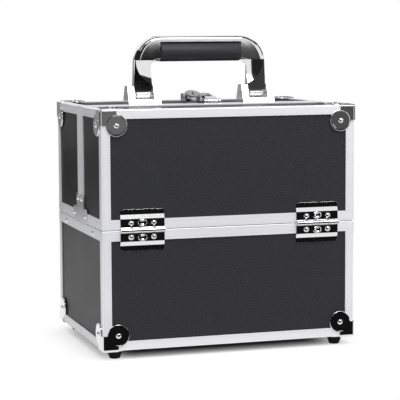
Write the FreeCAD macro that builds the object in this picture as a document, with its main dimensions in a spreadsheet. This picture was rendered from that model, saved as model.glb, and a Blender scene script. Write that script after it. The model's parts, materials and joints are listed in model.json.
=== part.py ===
import FreeCAD, Part
import math
import os
from types import SimpleNamespace

import Sketcher
from FreeCAD import Placement, Rotation, Vector

# Makeup train case: a lower box, two lid halves that part along a lengthwise seam on top,
# and four trays carried out sideways by the opening lids.
# Millimetres, +Z up, front face towards -Y, origin on the floor under the middle of the case.

SIZES = (
    ("case_width", "260", "outside of the end trims, left to right"),
    ("case_depth", "188", "outside of the front and rear trims"),
    ("base_height", "117", "underside of the box to the joint with the lids"),
    ("lid_height", "116", "joint to the top of the lids"),
    ("joint_gap", "0.6", "gap between base rim and lid rims"),
    ("seam_offset", "6.5", "lid seam in front of the middle of the case"),
    ("seam_gap", "0.6", "gap between the two lid halves"),
    ("panel_thick", "3.2", "covered board"),
    ("slot_play", "0.2", "slot in an extrusion less the board in it"),
    ("edge_play", "0.3", "board edge to the floor of its slot"),
    ("trim_wall", "1.2", "outer wall of an extrusion"),
    ("inner_wall", "1.0", "inner wall of an extrusion"),
    ("trim_leg", "9", "visible width of an edge trim"),
    ("trim_round", "1.2", "rounding of the trim arris"),
    ("rim_leg", "10", "visible width of a rim trim"),
    ("seam_leg", "11", "visible width of a seam trim"),
    ("inner_leg", "8", "inner lip of rim and seam trims"),
    ("kerf", "0.15", "mitre gap between two trims"),
    ("lining_thick", "0.9", "lining sheet"),
    ("lining_margin", "0.5", "lining edge to the trim beside it"),
    ("cap_wall", "1.2", "sheet of a corner cap"),
    ("cap_square", "15", "straight part of a corner cap along each edge"),
    ("cap_lobe", "11", "radius of the round lobe of a cap"),
    ("cap_round", "2.6", "rounding of the cap edges"),
    ("rivet_head", "2.8", "radius of a dome rivet head"),
    ("rivet_shank", "1.5", "radius of a rivet shank"),
    ("drill_play", "0.1", "drilled hole beyond the shank in it"),
    ("foot_height", "9.5", "floor to the underside of the box"),
    ("foot_radius", "8", "foot at the box"),
    ("foot_tip", "5", "foot at the floor"),
    ("foot_bore", "2.6", "radius of the screw recess in a foot"),
    ("hinge_inset", "9", "hinge leaf to the corner post beside it"),
    ("hinge_width", "44", "hinge leaf along the joint"),
    ("leaf_clear", "0.7", "bend of a hinge leaf beyond the rim trim"),
    ("hinge_step", "4", "sloping part of the leaf"),
    ("hinge_flange", "5", "part of the leaf that lies on the board"),
    ("leaf_wall", "1.0", "sheet of a hinge leaf"),
    ("leaf_round", "3", "rounded outer corners of a leaf"),
    ("barrel_radius", "2.6", "hinge knuckle"),
    ("barrel_gap", "0.1", "knuckle to the face of the rim"),
    ("pin_radius", "1.4", "hinge pin"),
    ("pin_play", "0.05", "running fit round a pin or stud"),
    ("knuckle_gap", "0.3", "between two knuckles"),
    ("hinge_rivet_out", "11.3", "hinge rivet from the hinge centre"),
    ("hinge_rivet_up", "6.7", "hinge rivet from the joint"),
    ("plate_wall", "0.8", "flat L plate at the foot of the seam"),
    ("plate_length", "28", "each arm of the L plate"),
    ("plate_width", "14", "arms of the L plate across"),
    ("plate_round", "3", "corners of the L plate"),
    ("plate_rivet", "23", "L plate rivet along each arm"),
    ("strip_rivet", "57", "pivot strip rivet from the middle of the case"),
    ("strip_rivet_drop", "5.8", "pivot strip rivet below the joint"),
    ("part_gap", "0.3", "between plates that slide past each other"),
    ("bar_wall", "2", "pivot strip, pivot bar and arm"),
    ("bar_width", "10", "pivot strip, pivot bar and arm across"),
    ("stud_radius", "2.5", "pivot stud"),
    ("pivot_spread", "18.7", "arm pivot behind the lid hinge axis"),
    ("arm_lean", "45", "degrees the arms lean inwards with the lid shut"),
    ("lower_reach", "34", "arm pivot to lower tray pivot"),
    ("tray_front_gap", "11", "outer tray wall to the face of the case"),
    ("tray_mid_gap", "10", "inner tray wall to the middle of the case"),
    ("tray_drop", "10", "tray pivot above the underside of the tray"),
    ("lower_tray_height", "29", "lower tray"),
    ("upper_tray_height", "37", "upper tray"),
    ("tray_gap", "4", "lower tray to the tray above it"),
    ("tray_wall", "2", "tray walls, floor and dividers"),
    ("tray_end_wall", "3.2", "tray end walls that hold the studs"),
    ("tray_round", "4", "tray corners"),
    ("handle_setback", "7.5", "handle behind the middle of the case"),
    ("handle_half", "70.5", "middle of the handle to its outside"),
    ("handle_rise", "69", "top of the case to top of the handle"),
    ("elbow_round", "28", "outer bend of the handle"),
    ("crook_round", "6", "inner bend of the handle"),
    ("leg_width", "19", "handle leg seen from the front"),
    ("leg_depth", "14", "handle leg front to back"),
    ("leg_tip_depth", "8", "handle leg front to back at its foot"),
    ("leg_taper", "17", "length of the taper of a leg"),
    ("leg_foot", "12.8", "foot of a handle leg above the case"),
    ("handle_edge", "3.8", "rounding of the edges of the spine and the inside of the handle"),
    ("elbow_edge", "6", "rounding of the outer edges at the elbow"),
    ("foot_edge", "1.6", "rounding of the leg edges at the foot"),
    ("spine_height", "6", "chrome strip over the grip"),
    ("grip_half", "43.3", "middle of the grip to its end"),
    ("grip_height", "20", "grip below the spine"),
    ("grip_depth", "22", "grip front to back"),
    ("grip_round", "7", "grip edges"),
    ("grip_play", "0.2", "grip end to the handle elbow"),
    ("pivot_rise", "9.4", "handle pivot above the case"),
    ("eye_radius", "4", "eye at the foot of a leg"),
    ("eye_width", "13", "eye along the pin"),
    ("eye_neck", "5", "neck between a leg and its eye front to back"),
    ("handle_pin", "1.9", "radius of a handle pin"),
    ("bracket_width", "34", "handle bracket along the case"),
    ("bracket_slot", "20.6", "slot for the leg in a bracket"),
    ("bracket_base", "25", "bracket front to back at the lid"),
    ("bracket_crown", "11", "bracket front to back at its top"),
    ("bracket_height", "18.4", "bracket above the case"),
    ("bracket_floor", "4.9", "floor of the slot above the case"),
    ("bracket_screw", "7", "bracket screw from the handle plane"),
    ("screw_head", "3", "radius of an inside screw head"),
    ("screw_head_height", "1.2", "inside screw head"),
    ("screw_bite", "3", "screw thread inside a bracket or lock"),
    ("lock_half", "17.2", "middle of the lock to its end"),
    ("lock_depth", "21", "lock front to back"),
    ("lock_front", "2.4", "lock height at the seam"),
    ("lock_back", "9.8", "lock height at the back"),
    ("lock_crown", "6", "flat top of the lock"),
    ("lock_lead", "2.2", "lock behind the edge of the seam trim"),
    ("lock_shoulder", "5.5", "sloping end of the lock along the case"),
    ("lock_fall", "5", "sloping end of the lock below its top"),
    ("lock_cheek", "0.2", "round boss to the end of the lock"),
    ("boss_radius", "8.2", "round boss that holds the key barrel"),
    ("boss_rise", "4", "boss above the slope"),
    ("boss_root", "2", "boss below the slope"),
    ("lock_barrel_radius", "6.8", "key barrel"),
    ("lock_barrel_depth", "2.4", "key barrel below the slope"),
    ("lock_barrel_rise", "4.7", "key barrel above the slope"),
    ("key_width", "1.4", "key slot across"),
    ("key_length", "6", "key slot along"),
    ("button_cheek", "0.5", "slide button to the sloping end of the lock"),
    ("button_half", "2.6", "half the slide button along the case"),
    ("button_depth", "5", "slide button across the slope"),
    ("button_rise", "3", "slide button above the slope"),
    ("button_sink", "2.2", "slide button below the slope"),
    ("button_travel", "4", "travel of the slide button"),
    ("hasp_offset", "7", "middle of the hasp from the middle of the lock"),
    ("hasp_half", "6", "half the hasp along the case"),
    ("hasp_length", "8.8", "hasp pin to its tip"),
    ("hasp_setback", "7.2", "hasp pin in front of the seam"),
    ("hasp_wall", "1.6", "hasp plate"),
    ("hasp_rise", "3", "hasp pin above the case"),
    ("hasp_lift", "25", "degrees the released hasp stands up"),
    ("hasp_eye", "2.2", "radius of the hasp knuckle"),
    ("hasp_pin", "1.0", "radius of the hasp pin"),
    ("hasp_ear", "3", "ear of the hasp base along the pin"),
    ("recess_floor", "0.8", "floor of the hasp recess above the case"),
    ("recess_depth", "3.4", "hasp recess into the lock"),
    ("recess_play", "0.6", "hasp recess beyond the hasp"),
)

LOWER_TRAY_CELLS = 4
UPPER_TRAY_CELLS = 3
KNUCKLES = 4
DOME_LATITUDE = 30
DOME_COS = math.cos(math.radians(DOME_LATITUDE))
DOME_TAN = math.tan(math.radians(DOME_LATITUDE))
MITRE_OVERRUN = 1
TOOL_OVERRUN = 2
TOUCH = 1e-4


class Size:
    """A length or angle known both as a number and as a spreadsheet expression."""

    def __init__(self, text, number):
        self.text = text
        self.number = number

    @staticmethod
    def of(value):
        if isinstance(value, Size):
            return value
        return Size(f"({float(value)!r})", float(value))

    def __add__(self, other):
        other = Size.of(other)
        return Size(f"({self.text} + {other.text})", self.number + other.number)

    def __sub__(self, other):
        other = Size.of(other)
        return Size(f"({self.text} - {other.text})", self.number - other.number)

    def __mul__(self, other):
        other = Size.of(other)
        return Size(f"({self.text} * {other.text})", self.number * other.number)

    def __truediv__(self, other):
        other = Size.of(other)
        return Size(f"({self.text} / {other.text})", self.number / other.number)

    def __radd__(self, other):
        return Size.of(other) + self

    def __rsub__(self, other):
        return Size.of(other) - self

    def __rmul__(self, other):
        return Size.of(other) * self

    def __neg__(self):
        return Size.of(0) - self


def sine(angle):
    return Size(f"sin({angle.text})", math.sin(math.radians(angle.number)))


def cosine(angle):
    return Size(f"cos({angle.text})", math.cos(math.radians(angle.number)))


def slope_angle(rise, run):
    return Size(f"atan({rise.text} / {run.text})", math.degrees(math.atan(rise.number / run.number)))


doc = FreeCAD.newDocument("TrainCase")
sheet = doc.addObject("Spreadsheet::Sheet", "Sizes")
for row, (alias, number, meaning) in enumerate(SIZES, start=1):
    sheet.set(f"A{row}", meaning)
    sheet.set(f"B{row}", number)
    sheet.setAlias(f"B{row}", alias)
doc.recompute()
s = SimpleNamespace(**{alias: Size(f"Sizes.{alias}", float(sheet.get(alias))) for alias, _, _ in SIZES})

ALONG = {
    "x": Rotation(Vector(0, 1, 0), 90),
    "-x": Rotation(Vector(0, 1, 0), -90),
    "y": Rotation(Vector(1, 0, 0), -90),
    "-y": Rotation(Vector(1, 0, 0), 90),
    "z": Rotation(),
    "-z": Rotation(Vector(1, 0, 0), 180),
}
AXIS = {
    "x": (1, 0, 0), "-x": (-1, 0, 0),
    "y": (0, 1, 0), "-y": (0, -1, 0),
    "z": (0, 0, 1), "-z": (0, 0, -1),
}
PLANE_ROLE = {"xy": "XY_Plane", "xz": "XZ_Plane", "yz": "YZ_Plane"}

nodes = []


# Helpers that make document objects bound to the sheet

def bind(thing, name, value):
    thing.setExpression(name, Size.of(value).text)


def place(thing, at, turn=None):
    if turn is not None:
        thing.Placement = Placement(Vector(0, 0, 0), turn)
    for axis, value in zip("xyz", at):
        bind(thing, f"Placement.Base.{axis}", value)
    return thing


def tilt_about_x(thing, at, degrees, sense):
    """Place a thing built at the origin and turn it about the X axis by a bound angle."""
    thing.Placement = Placement(Vector(0, 0, 0), Rotation(Vector(sense, 0, 0), 1))
    bind(thing, "Placement.Rotation.Angle", degrees)
    return place(thing, at)


def shift(at, along, distance):
    return tuple(start + step * distance for start, step in zip(at, AXIS[along]))


def box(name, x, y, z):
    thing = doc.addObject("Part::Box", name)
    for prop, (low, high) in zip(("Length", "Width", "Height"), (x, y, z)):
        bind(thing, prop, Size.of(high) - low)
    return place(thing, (x[0], y[0], z[0]))


def cylinder(name, radius, length, at, along):
    thing = doc.addObject("Part::Cylinder", name)
    bind(thing, "Radius", radius)
    bind(thing, "Height", length)
    return place(thing, at, ALONG[along])


def cone(name, low_radius, high_radius, height, at):
    thing = doc.addObject("Part::Cone", name)
    bind(thing, "Radius1", low_radius)
    bind(thing, "Radius2", high_radius)
    bind(thing, "Height", height)
    return place(thing, at)


def fuse(name, things):
    thing = doc.addObject("Part::MultiFuse", name)
    thing.Shapes = things
    thing.Refine = True
    return thing


def common(name, first, second):
    thing = doc.addObject("Part::MultiCommon", name)
    thing.Shapes = [first, second]
    return thing


def cut(name, base, tool):
    thing = doc.addObject("Part::Cut", name)
    thing.Base = base
    thing.Tool = tool
    return thing


def group(name, things):
    thing = doc.addObject("Part::Compound", name)
    thing.Links = things
    return thing


def mirror(name, source, normal):
    thing = doc.addObject("Part::Mirroring", name)
    thing.Source = source
    thing.Normal = Vector(*normal)
    return thing


def node(thing, label):
    thing.Label = label
    nodes.append(thing)
    return thing


def sign_of(value):
    return (value > 0) - (value < 0)


def draw_outline(sketch, corners, closed=True):
    """Draw straight edges between bound corners; a third entry rounds an axis-parallel corner."""
    count = len(corners)
    spots = []
    for index, corner in enumerate(corners):
        x, y = Size.of(corner[0]), Size.of(corner[1])
        if len(corner) == 2:
            spots.append(((x, y), (x, y), None))
            continue
        radius = Size.of(corner[2])
        ways = []
        for other in (corners[index - 1], corners[(index + 1) % count]):
            ways.append((sign_of(round(Size.of(other[0]).number - x.number, 6)),
                         sign_of(round(Size.of(other[1]).number - y.number, 6))))
        ends = [(x + radius * dx, y + radius * dy) for dx, dy in ways]
        middle = (x + radius * (ways[0][0] + ways[1][0]), y + radius * (ways[0][1] + ways[1][1]))
        spots.append((ends[0], ends[1], (middle, radius, ways)))
    pieces = []
    for index, (start, end, rounding) in enumerate(spots):
        if rounding:
            middle, radius, ways = rounding
            first, last = (start, end)
            turn_left = -ways[0][0] * ways[1][1] + ways[0][1] * ways[1][0] > 0
            if not turn_left:
                first, last = (end, start)
            angles = [math.atan2(spot[1].number - middle[1].number, spot[0].number - middle[0].number)
                      for spot in (first, last)]
            centre = Vector(middle[0].number, middle[1].number, 0)
            circle = Part.Circle(centre, Vector(0, 0, 1), radius.number)
            sketch.addGeometry(Part.ArcOfCircle(circle, angles[0], angles[1]))
            pieces.append((start, end, 1 if turn_left else 2, 2 if turn_left else 1, radius))
        if closed or index < count - 1:
            follow = spots[(index + 1) % count][0]
            sketch.addGeometry(Part.LineSegment(Vector(end[0].number, end[1].number, 0),
                                                Vector(follow[0].number, follow[1].number, 0)))
            pieces.append((end, follow, 1, 2, None))
    for index, (start, end, start_pos, end_pos, radius) in enumerate(pieces):
        if closed or index < len(pieces) - 1:
            follow = (index + 1) % len(pieces)
            sketch.addConstraint(Sketcher.Constraint("Coincident", index, end_pos, follow, pieces[follow][2]))
        ends = [(start, start_pos)]
        if not closed and index == len(pieces) - 1:
            ends.append((end, end_pos))
        for spot, position in ends:
            for kind, value in zip(("DistanceX", "DistanceY"), spot):
                rule = Sketcher.Constraint(kind, -1, 1, index, position, value.number)
                bind(sketch, f"Constraints[{sketch.addConstraint(rule)}]", value)
        if radius is not None:
            rule = Sketcher.Constraint("Radius", index, radius.number)
            bind(sketch, f"Constraints[{sketch.addConstraint(rule)}]", radius)
    return sketch


def prism(name, plane, corners, low, high):
    """A body padded from an outline on one of its own planes, between two levels across it."""
    body = doc.addObject("PartDesign::Body", name)
    sketch = body.newObject("Sketcher::SketchObject", f"{name}_outline")
    origin = next(item for item in body.Origin.OriginFeatures if item.Role == PLANE_ROLE[plane])
    sketch.AttachmentSupport = [(origin, "")]
    sketch.MapMode = "FlatFace"
    draw_outline(sketch, corners)
    pad = body.newObject("PartDesign::Pad", f"{name}_pad")
    pad.Profile = sketch
    bind(pad, "Length", Size.of(high) - low)
    if plane == "xy":
        return place(body, (0, 0, low))
    if plane == "yz":
        return place(body, (low, 0, 0))
    return place(body, (0, high, 0))


def sweep(name, profile, at, across, inward, path, path_plane, path_level, closed):
    """An extrusion profile carried round square corners of a path."""
    section = doc.addObject("Sketcher::SketchObject", f"{name}_profile")
    draw_outline(section, profile)
    first, second = Vector(*AXIS[across]), Vector(*AXIS[inward])
    place(section, at, Rotation(first, second, first.cross(second), "XYZ"))
    spine = doc.addObject("Sketcher::SketchObject", f"{name}_path")
    draw_outline(spine, path, closed)
    if path_plane == "xy":
        place(spine, (0, 0, path_level))
    else:
        place(spine, (0, path_level, 0), Rotation(Vector(1, 0, 0), 90))
    thing = doc.addObject("Part::Sweep", name)
    thing.Sections = [section]
    thing.Spine = (spine, [])
    thing.Solid = True
    thing.Transition = "Right corner"
    return thing


def mitre(name, plane, corner, ways, reach, across):
    """A thin slab along the diagonal of a corner, which parts two trims."""
    slab = doc.addObject("Part::Box", name)
    bind(slab, "Length", reach * 2)
    bind(slab, "Width", s.kerf)
    bind(slab, "Height", Size.of(across[1]) - across[0])
    angle = math.degrees(math.atan2(ways[1], ways[0]))
    half = math.sqrt(0.5)
    step = (ways[0] * half, ways[1] * half)
    first = corner[0] - step[0] * MITRE_OVERRUN + s.kerf * (step[1] / 2)
    second = corner[1] - step[1] * MITRE_OVERRUN - s.kerf * (step[0] / 2)
    if plane == "xy":
        return place(slab, (first, second, across[0]), Rotation(Vector(0, 0, 1), angle))
    turn = Rotation(Vector(1, 0, 0), 90).multiply(Rotation(Vector(0, 0, 1), angle))
    return place(slab, (first, across[1], second), turn)


def dome(name, at, along, radius):
    """A rivet head: a spherical segment standing on a face."""
    thing = doc.addObject("Part::Sphere", name)
    bind(thing, "Radius", radius / DOME_COS)
    thing.Angle1 = DOME_LATITUDE
    thing.Angle2 = 90
    return place(thing, shift(at, along, -radius * DOME_TAN), ALONG[along])


def rivet(name, at, along, grip):
    """A dome rivet whose head stands on a face at one point and whose shank runs back from it."""
    head = dome(f"{name}_head", at, along, s.rivet_head)
    shank = cylinder(f"{name}_shank", s.rivet_shank, grip, shift(at, along, -grip), along)
    return fuse(name, [head, shank])


def drill(name, at, along, grip):
    """The hole a rivet passes through, open beyond both faces."""
    start = shift(at, along, -grip - s.drill_play)
    return cylinder(name, s.rivet_shank + s.drill_play, grip + s.drill_play + TOOL_OVERRUN, start, along)


def rivet_set(name, spots):
    """Rivets and their holes for a list of places, ways out and grips."""
    rivets = group(name, [rivet(f"{name}_{i}", *spot) for i, spot in enumerate(spots)])
    holes = group(f"{name}_holes", [drill(f"{name}_hole_{i}", *spot) for i, spot in enumerate(spots)])
    return rivets, holes


# Planes of the case

half_w = s.case_width / 2
half_d = s.case_depth / 2
floor_z = s.foot_height
joint_z = floor_z + s.base_height
top_z = joint_z + s.lid_height
base_rim_z = joint_z - s.joint_gap / 2
lid_rim_z = joint_z + s.joint_gap / 2
slot = s.panel_thick + s.slot_play
core = s.trim_wall + slot + s.inner_wall
panel_out = s.trim_wall + s.slot_play / 2
panel_in = panel_out + s.panel_thick
panel_edge = core + s.edge_play
web_edge = s.trim_wall + s.edge_play
lining_out = panel_in
lining_in = panel_in + s.lining_thick
plate_out = core + s.part_gap
plate_in = plate_out + s.bar_wall
arm_out = plate_in + s.part_gap
arm_in = arm_out + s.bar_wall
tray_half = half_w - arm_in - s.part_gap
hinge_y = half_d + s.barrel_gap + s.barrel_radius
hinge_middle = half_w - s.trim_leg - s.hinge_inset - s.hinge_width / 2
leaf_flat = s.joint_gap / 2 + s.rim_leg + s.leaf_clear
leaf_reach = leaf_flat + s.hinge_step + s.hinge_flange

edge_profile = [
    (0, 0, s.trim_round), (s.trim_leg, 0), (s.trim_leg, s.trim_wall), (core, s.trim_wall),
    (core, s.trim_wall + slot), (s.trim_leg, s.trim_wall + slot), (s.trim_leg, core), (core, core),
    (core, s.trim_leg), (s.trim_wall + slot, s.trim_leg), (s.trim_wall + slot, core), (s.trim_wall, core),
    (s.trim_wall, s.trim_leg), (0, s.trim_leg),
]


def lip_profile(leg):
    """A channel that caps one board edge: outer wall, web and inner lip."""
    return [
        (0, 0, s.trim_round / 2), (core, 0), (core, s.inner_leg), (s.trim_wall + slot, s.inner_leg),
        (s.trim_wall + slot, s.trim_wall), (s.trim_wall, s.trim_wall), (s.trim_wall, leg), (0, leg),
    ]


def corner_post(name, sx, sy, low, high):
    corners = [(sx * (half_w - spot[0]), sy * (half_d - spot[1]), *spot[2:]) for spot in edge_profile]
    return prism(name, "xy", corners, low, high)


def corner_cap():
    """The cap of the left front bottom corner: a square and a round lobe on each of three faces."""
    low = (-half_w, -half_d, floor_z)
    out = [spot - s.cap_wall for spot in low]
    square = [(start, face + s.cap_square) for start, face in zip(out, low)]
    sheets = []
    for axis, along in enumerate("xyz"):
        spans = list(square)
        spans[axis] = (out[axis], low[axis])
        sheets.append(box(f"cap_square_{along}", *spans))
        at = [face + s.cap_square for face in low]
        at[axis] = out[axis]
        sheets.append(cylinder(f"cap_lobe_{along}", s.cap_lobe, s.cap_wall, at, along))
    return fuse("cap_sheets", sheets)


def rounded(name, source, radii):
    """Round edges of a finished shape by the radii that a rule gives their ends."""
    doc.recompute()
    thing = doc.addObject("Part::Fillet", name)
    thing.Base = source
    picked = []
    for index, edge in enumerate(source.Shape.Edges, start=1):
        sizes = radii([vertex.Point for vertex in edge.Vertexes])
        if sizes:
            picked.append((index, *[size.number for size in sizes]))
    thing.Edges = picked
    return thing


def cap_rounding(ends):
    """The straight outer edges of a cap are rounded."""
    box_low = (-half_w.number - s.cap_wall.number, -half_d.number - s.cap_wall.number,
               floor_z.number - s.cap_wall.number)
    flat = [all(abs(point[axis] - box_low[axis]) < TOUCH for point in ends) for axis in range(3)]
    return [s.cap_round] * 2 if len(ends) == 2 and sum(flat) == 2 else []


def cap_spots(sx, sy, sz):
    """Rivet places on the lobes of one corner cap; a foot screw holds the bottom lobe."""
    level = top_z if sz > 0 else floor_z
    at = (sx * half_w, sy * half_d, level)
    inward = (-sx * s.cap_square, -sy * s.cap_square, -sz * s.cap_square)
    grip = s.cap_wall + panel_in
    spots = []
    for axis, sign in enumerate((sx, sy, sz) if sz > 0 else (sx, sy)):
        spot = [place_at + step for place_at, step in zip(at, inward)]
        spot[axis] = at[axis] + sign * s.cap_wall
        spots.append((tuple(spot), ("-" if sign < 0 else "") + "xyz"[axis], grip))
    return spots


def hinge_spots(side, lid):
    """Rivet places on two hinge leaves of the front or rear, above or below the joint."""
    level = joint_z + s.hinge_rivet_up * lid
    face = side * (half_d + s.leaf_wall)
    grip = s.leaf_wall + panel_in
    along = "y" if side > 0 else "-y"
    return [((sx * hinge_middle + out * s.hinge_rivet_out, face, level), along, grip)
            for sx in (-1, 1) for out in (-1, 1)]


# Corner caps

cap_sheets = corner_cap()
cap_master = rounded("cap_left_front", cap_sheets, cap_rounding)
cap_front_right = mirror("cap_right_front", cap_master, (1, 0, 0))
cap_front = group("caps_front", [cap_master, cap_front_right])
cap_rear = mirror("caps_rear", cap_front, (0, 1, 0))
cap_bottom = group("caps_bottom", [cap_front, cap_rear])
cap_top_front = mirror("caps_top_front", cap_front, (0, 0, 1))
cap_top_rear = mirror("caps_top_rear", cap_rear, (0, 0, 1))
for cap_top in (cap_top_front, cap_top_rear):
    bind(cap_top, "Base.z", (floor_z + top_z) / 2)

# Base rivets: caps, lower hinge leaves and pivot strips

base_spots = [spot for sx in (-1, 1) for sy in (-1, 1) for spot in cap_spots(sx, sy, -1)]
for side in (-1, 1):
    base_spots += hinge_spots(side, -1)
for sx, way in ((-1, "-x"), (1, "x")):
    for sy in (-1, 1):
        strip_at = (sx * half_w, sy * s.strip_rivet, joint_z - s.strip_rivet_drop)
        base_spots.append((strip_at, way, plate_in))
base_rivets, base_holes = rivet_set("base_rivets", base_spots)
foot_spots = [(sx * (half_w - s.cap_square), sy * (half_d - s.cap_square))
              for sx in (-1, 1) for sy in (-1, 1)]
foot_holes = group("foot_holes", [
    cylinder(f"foot_hole_{i}", s.rivet_shank + s.drill_play, s.foot_height + panel_in, (x, y, 0), "z")
    for i, (x, y) in enumerate(foot_spots)])
base_drills = group("base_drills", [base_holes, foot_holes])
node(base_rivets, "base_rivets")
node(cut("base_caps", cap_bottom, base_drills), "base_corner_caps")

# Base panels

base_low = floor_z + panel_edge
base_high = base_rim_z - web_edge
across_w = (-half_w + panel_edge, half_w - panel_edge)
across_d = (-half_d + panel_edge, half_d - panel_edge)
across_h = (base_low, base_high)


def wall_span(half, sign, near, far):
    """From one depth to another behind an outer face, in rising order."""
    return (half - far, half - near) if sign > 0 else (near - half, far - half)


base_panel_boxes = {
    "base_bottom_panel": (across_w, across_d, (floor_z + panel_out, floor_z + panel_in)),
    "base_front_panel": (across_w, wall_span(half_d, -1, panel_out, panel_in), across_h),
    "base_rear_panel": (across_w, wall_span(half_d, 1, panel_out, panel_in), across_h),
    "base_left_panel": (wall_span(half_w, -1, panel_out, panel_in), across_d, across_h),
    "base_right_panel": (wall_span(half_w, 1, panel_out, panel_in), across_d, across_h),
}
for label, spans in base_panel_boxes.items():
    board = box(f"{label}_board", *spans)
    tool = base_drills if label == "base_bottom_panel" else base_holes
    node(cut(f"{label}_drilled", board, tool), label)

# Base trims

ring_path = [(-half_w, -half_d), (half_w, -half_d), (half_w, half_d), (-half_w, half_d)]
ring_corners = [(sx, sy) for sx in (-1, 1) for sy in (-1, 1)]
bottom_ring = sweep("bottom_ring", edge_profile, (-half_w, -half_d, floor_z), "y", "z",
                    ring_path, "xy", floor_z, True)
bottom_mitres = group("bottom_mitres", [
    mitre(f"bottom_mitre_{i}", "xy", (sx * half_w, sy * half_d), (-sx, -sy), s.trim_leg,
          (floor_z - MITRE_OVERRUN, floor_z + s.trim_leg + MITRE_OVERRUN))
    for i, (sx, sy) in enumerate(ring_corners)])
node(cut("bottom_trims", bottom_ring, bottom_mitres), "base_bottom_trims")
rim_ring = sweep("rim_ring", lip_profile(s.rim_leg), (-half_w, -half_d, base_rim_z), "y", "-z",
                 ring_path, "xy", base_rim_z, True)
rim_mitres = group("rim_mitres", [
    mitre(f"rim_mitre_{i}", "xy", (sx * half_w, sy * half_d), (-sx, -sy), core,
          (base_rim_z - s.rim_leg - MITRE_OVERRUN, base_rim_z + MITRE_OVERRUN))
    for i, (sx, sy) in enumerate(ring_corners)])
rim_tools = group("rim_tools", [rim_mitres, base_holes])
node(cut("rim_trims", rim_ring, rim_tools), "base_rim_trims")
base_posts = [corner_post(f"base_post_{i}", sx, sy, floor_z + s.trim_leg, base_rim_z - s.rim_leg)
              for i, (sx, sy) in enumerate(ring_corners)]
node(group("base_posts", base_posts), "base_corner_posts")

# Feet and their screws

foot_pieces = []
screw_pieces = []
for i, (x, y) in enumerate(foot_spots):
    solid = cone(f"foot_{i}_solid", s.foot_tip, s.foot_radius, s.foot_height - s.cap_wall, (x, y, 0))
    recess = cylinder(f"foot_{i}_recess", s.foot_bore, s.foot_height / 2, (x, y, 0), "z")
    hole = cylinder(f"foot_{i}_hole", s.rivet_shank + s.drill_play, s.foot_height, (x, y, 0), "z")
    foot_pieces.append(cut(f"foot_{i}", solid, fuse(f"foot_{i}_bore", [recess, hole])))
    head_z = s.foot_height / 2 - s.screw_head_height
    head = cylinder(f"foot_screw_{i}_head", s.foot_bore - s.drill_play, s.screw_head_height,
                    (x, y, head_z), "z")
    shank = cylinder(f"foot_screw_{i}_shank", s.rivet_shank, floor_z + panel_in - s.edge_play - head_z,
                     (x, y, head_z), "z")
    screw_pieces.append(fuse(f"foot_screw_{i}", [head, shank]))
node(group("feet_all", foot_pieces), "feet")
node(group("foot_screws_all", screw_pieces), "foot_screws")

# Lining sheets on the boards

edge_inset = s.trim_leg + s.lining_margin
lip_inset = s.inner_leg + s.lining_margin
lined_w = (-half_w + edge_inset, half_w - edge_inset)
lined_d = (-half_d + edge_inset, half_d - edge_inset)
lined_h = (floor_z + edge_inset, base_rim_z - lip_inset)
base_lining = [
    box("base_lining_bottom", lined_w, lined_d, (floor_z + lining_out, floor_z + lining_in)),
    box("base_lining_front", lined_w, wall_span(half_d, -1, lining_out, lining_in), lined_h),
    box("base_lining_rear", lined_w, wall_span(half_d, 1, lining_out, lining_in), lined_h),
    box("base_lining_left", wall_span(half_w, -1, lining_out, lining_in), lined_d, lined_h),
    box("base_lining_right", wall_span(half_w, 1, lining_out, lining_in), lined_d, lined_h),
]
node(group("base_lining_sheets", base_lining), "base_lining")

# Hinges: formed leaves on the rims, knuckles outside the faces, a pin through each barrel


def leaf(name, sx, side, lid, tool):
    """One hinge leaf: flat on the rim trim, stepped down to the board, knuckles along the joint."""
    middle = sx * hinge_middle
    ends = (middle - s.hinge_width / 2, middle + s.hinge_width / 2)
    drop = panel_out
    near = s.barrel_radius + s.knuckle_gap
    profile = [(0, near), (0, leaf_flat), (drop, leaf_flat + s.hinge_step), (drop, leaf_reach),
               (drop - s.leaf_wall, leaf_reach), (drop - s.leaf_wall, leaf_flat + s.hinge_step),
               (-s.leaf_wall, leaf_flat), (-s.leaf_wall, near)]
    section = [(side * (half_d - inward), joint_z + lid * up) for inward, up in profile]
    formed = prism(f"{name}_formed", "yz", section, ends[0], ends[1])
    face = [(ends[0], joint_z + lid * near), (ends[1], joint_z + lid * near),
            (ends[1], joint_z + lid * leaf_reach, s.leaf_round),
            (ends[0], joint_z + lid * leaf_reach, s.leaf_round)]
    spread = (side * half_d - s.barrel_radius * 2, side * half_d + s.barrel_radius * 2)
    sheet_metal = common(f"{name}_sheet", formed, prism(f"{name}_face", "xz", face, *spread))
    pitch = s.hinge_width / KNUCKLES
    pieces = [sheet_metal]
    for knuckle in range(0 if lid > 0 else 1, KNUCKLES, 2):
        start = ends[0] + pitch * knuckle + s.knuckle_gap / 2
        length = pitch - s.knuckle_gap
        at = (start, side * hinge_y, joint_z)
        pieces.append(cylinder(f"{name}_knuckle_{knuckle}", s.barrel_radius, length, at, "x"))
        tie_y = (-half_d - s.leaf_wall, -half_d - s.barrel_gap) if side < 0 else (
            half_d + s.barrel_gap, half_d + s.leaf_wall)
        tie_end = near + s.leaf_wall
        tie_z = (joint_z, joint_z + tie_end) if lid > 0 else (joint_z - tie_end, joint_z)
        pieces.append(box(f"{name}_tie_{knuckle}", (start, start + length), tie_y, tie_z))
    bore = cylinder(f"{name}_bore", s.pin_radius + s.pin_play, s.hinge_width,
                    (ends[0], side * hinge_y, joint_z), "x")
    return cut(name, fuse(f"{name}_solid", pieces), group(f"{name}_tools", [bore, tool]))


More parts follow.
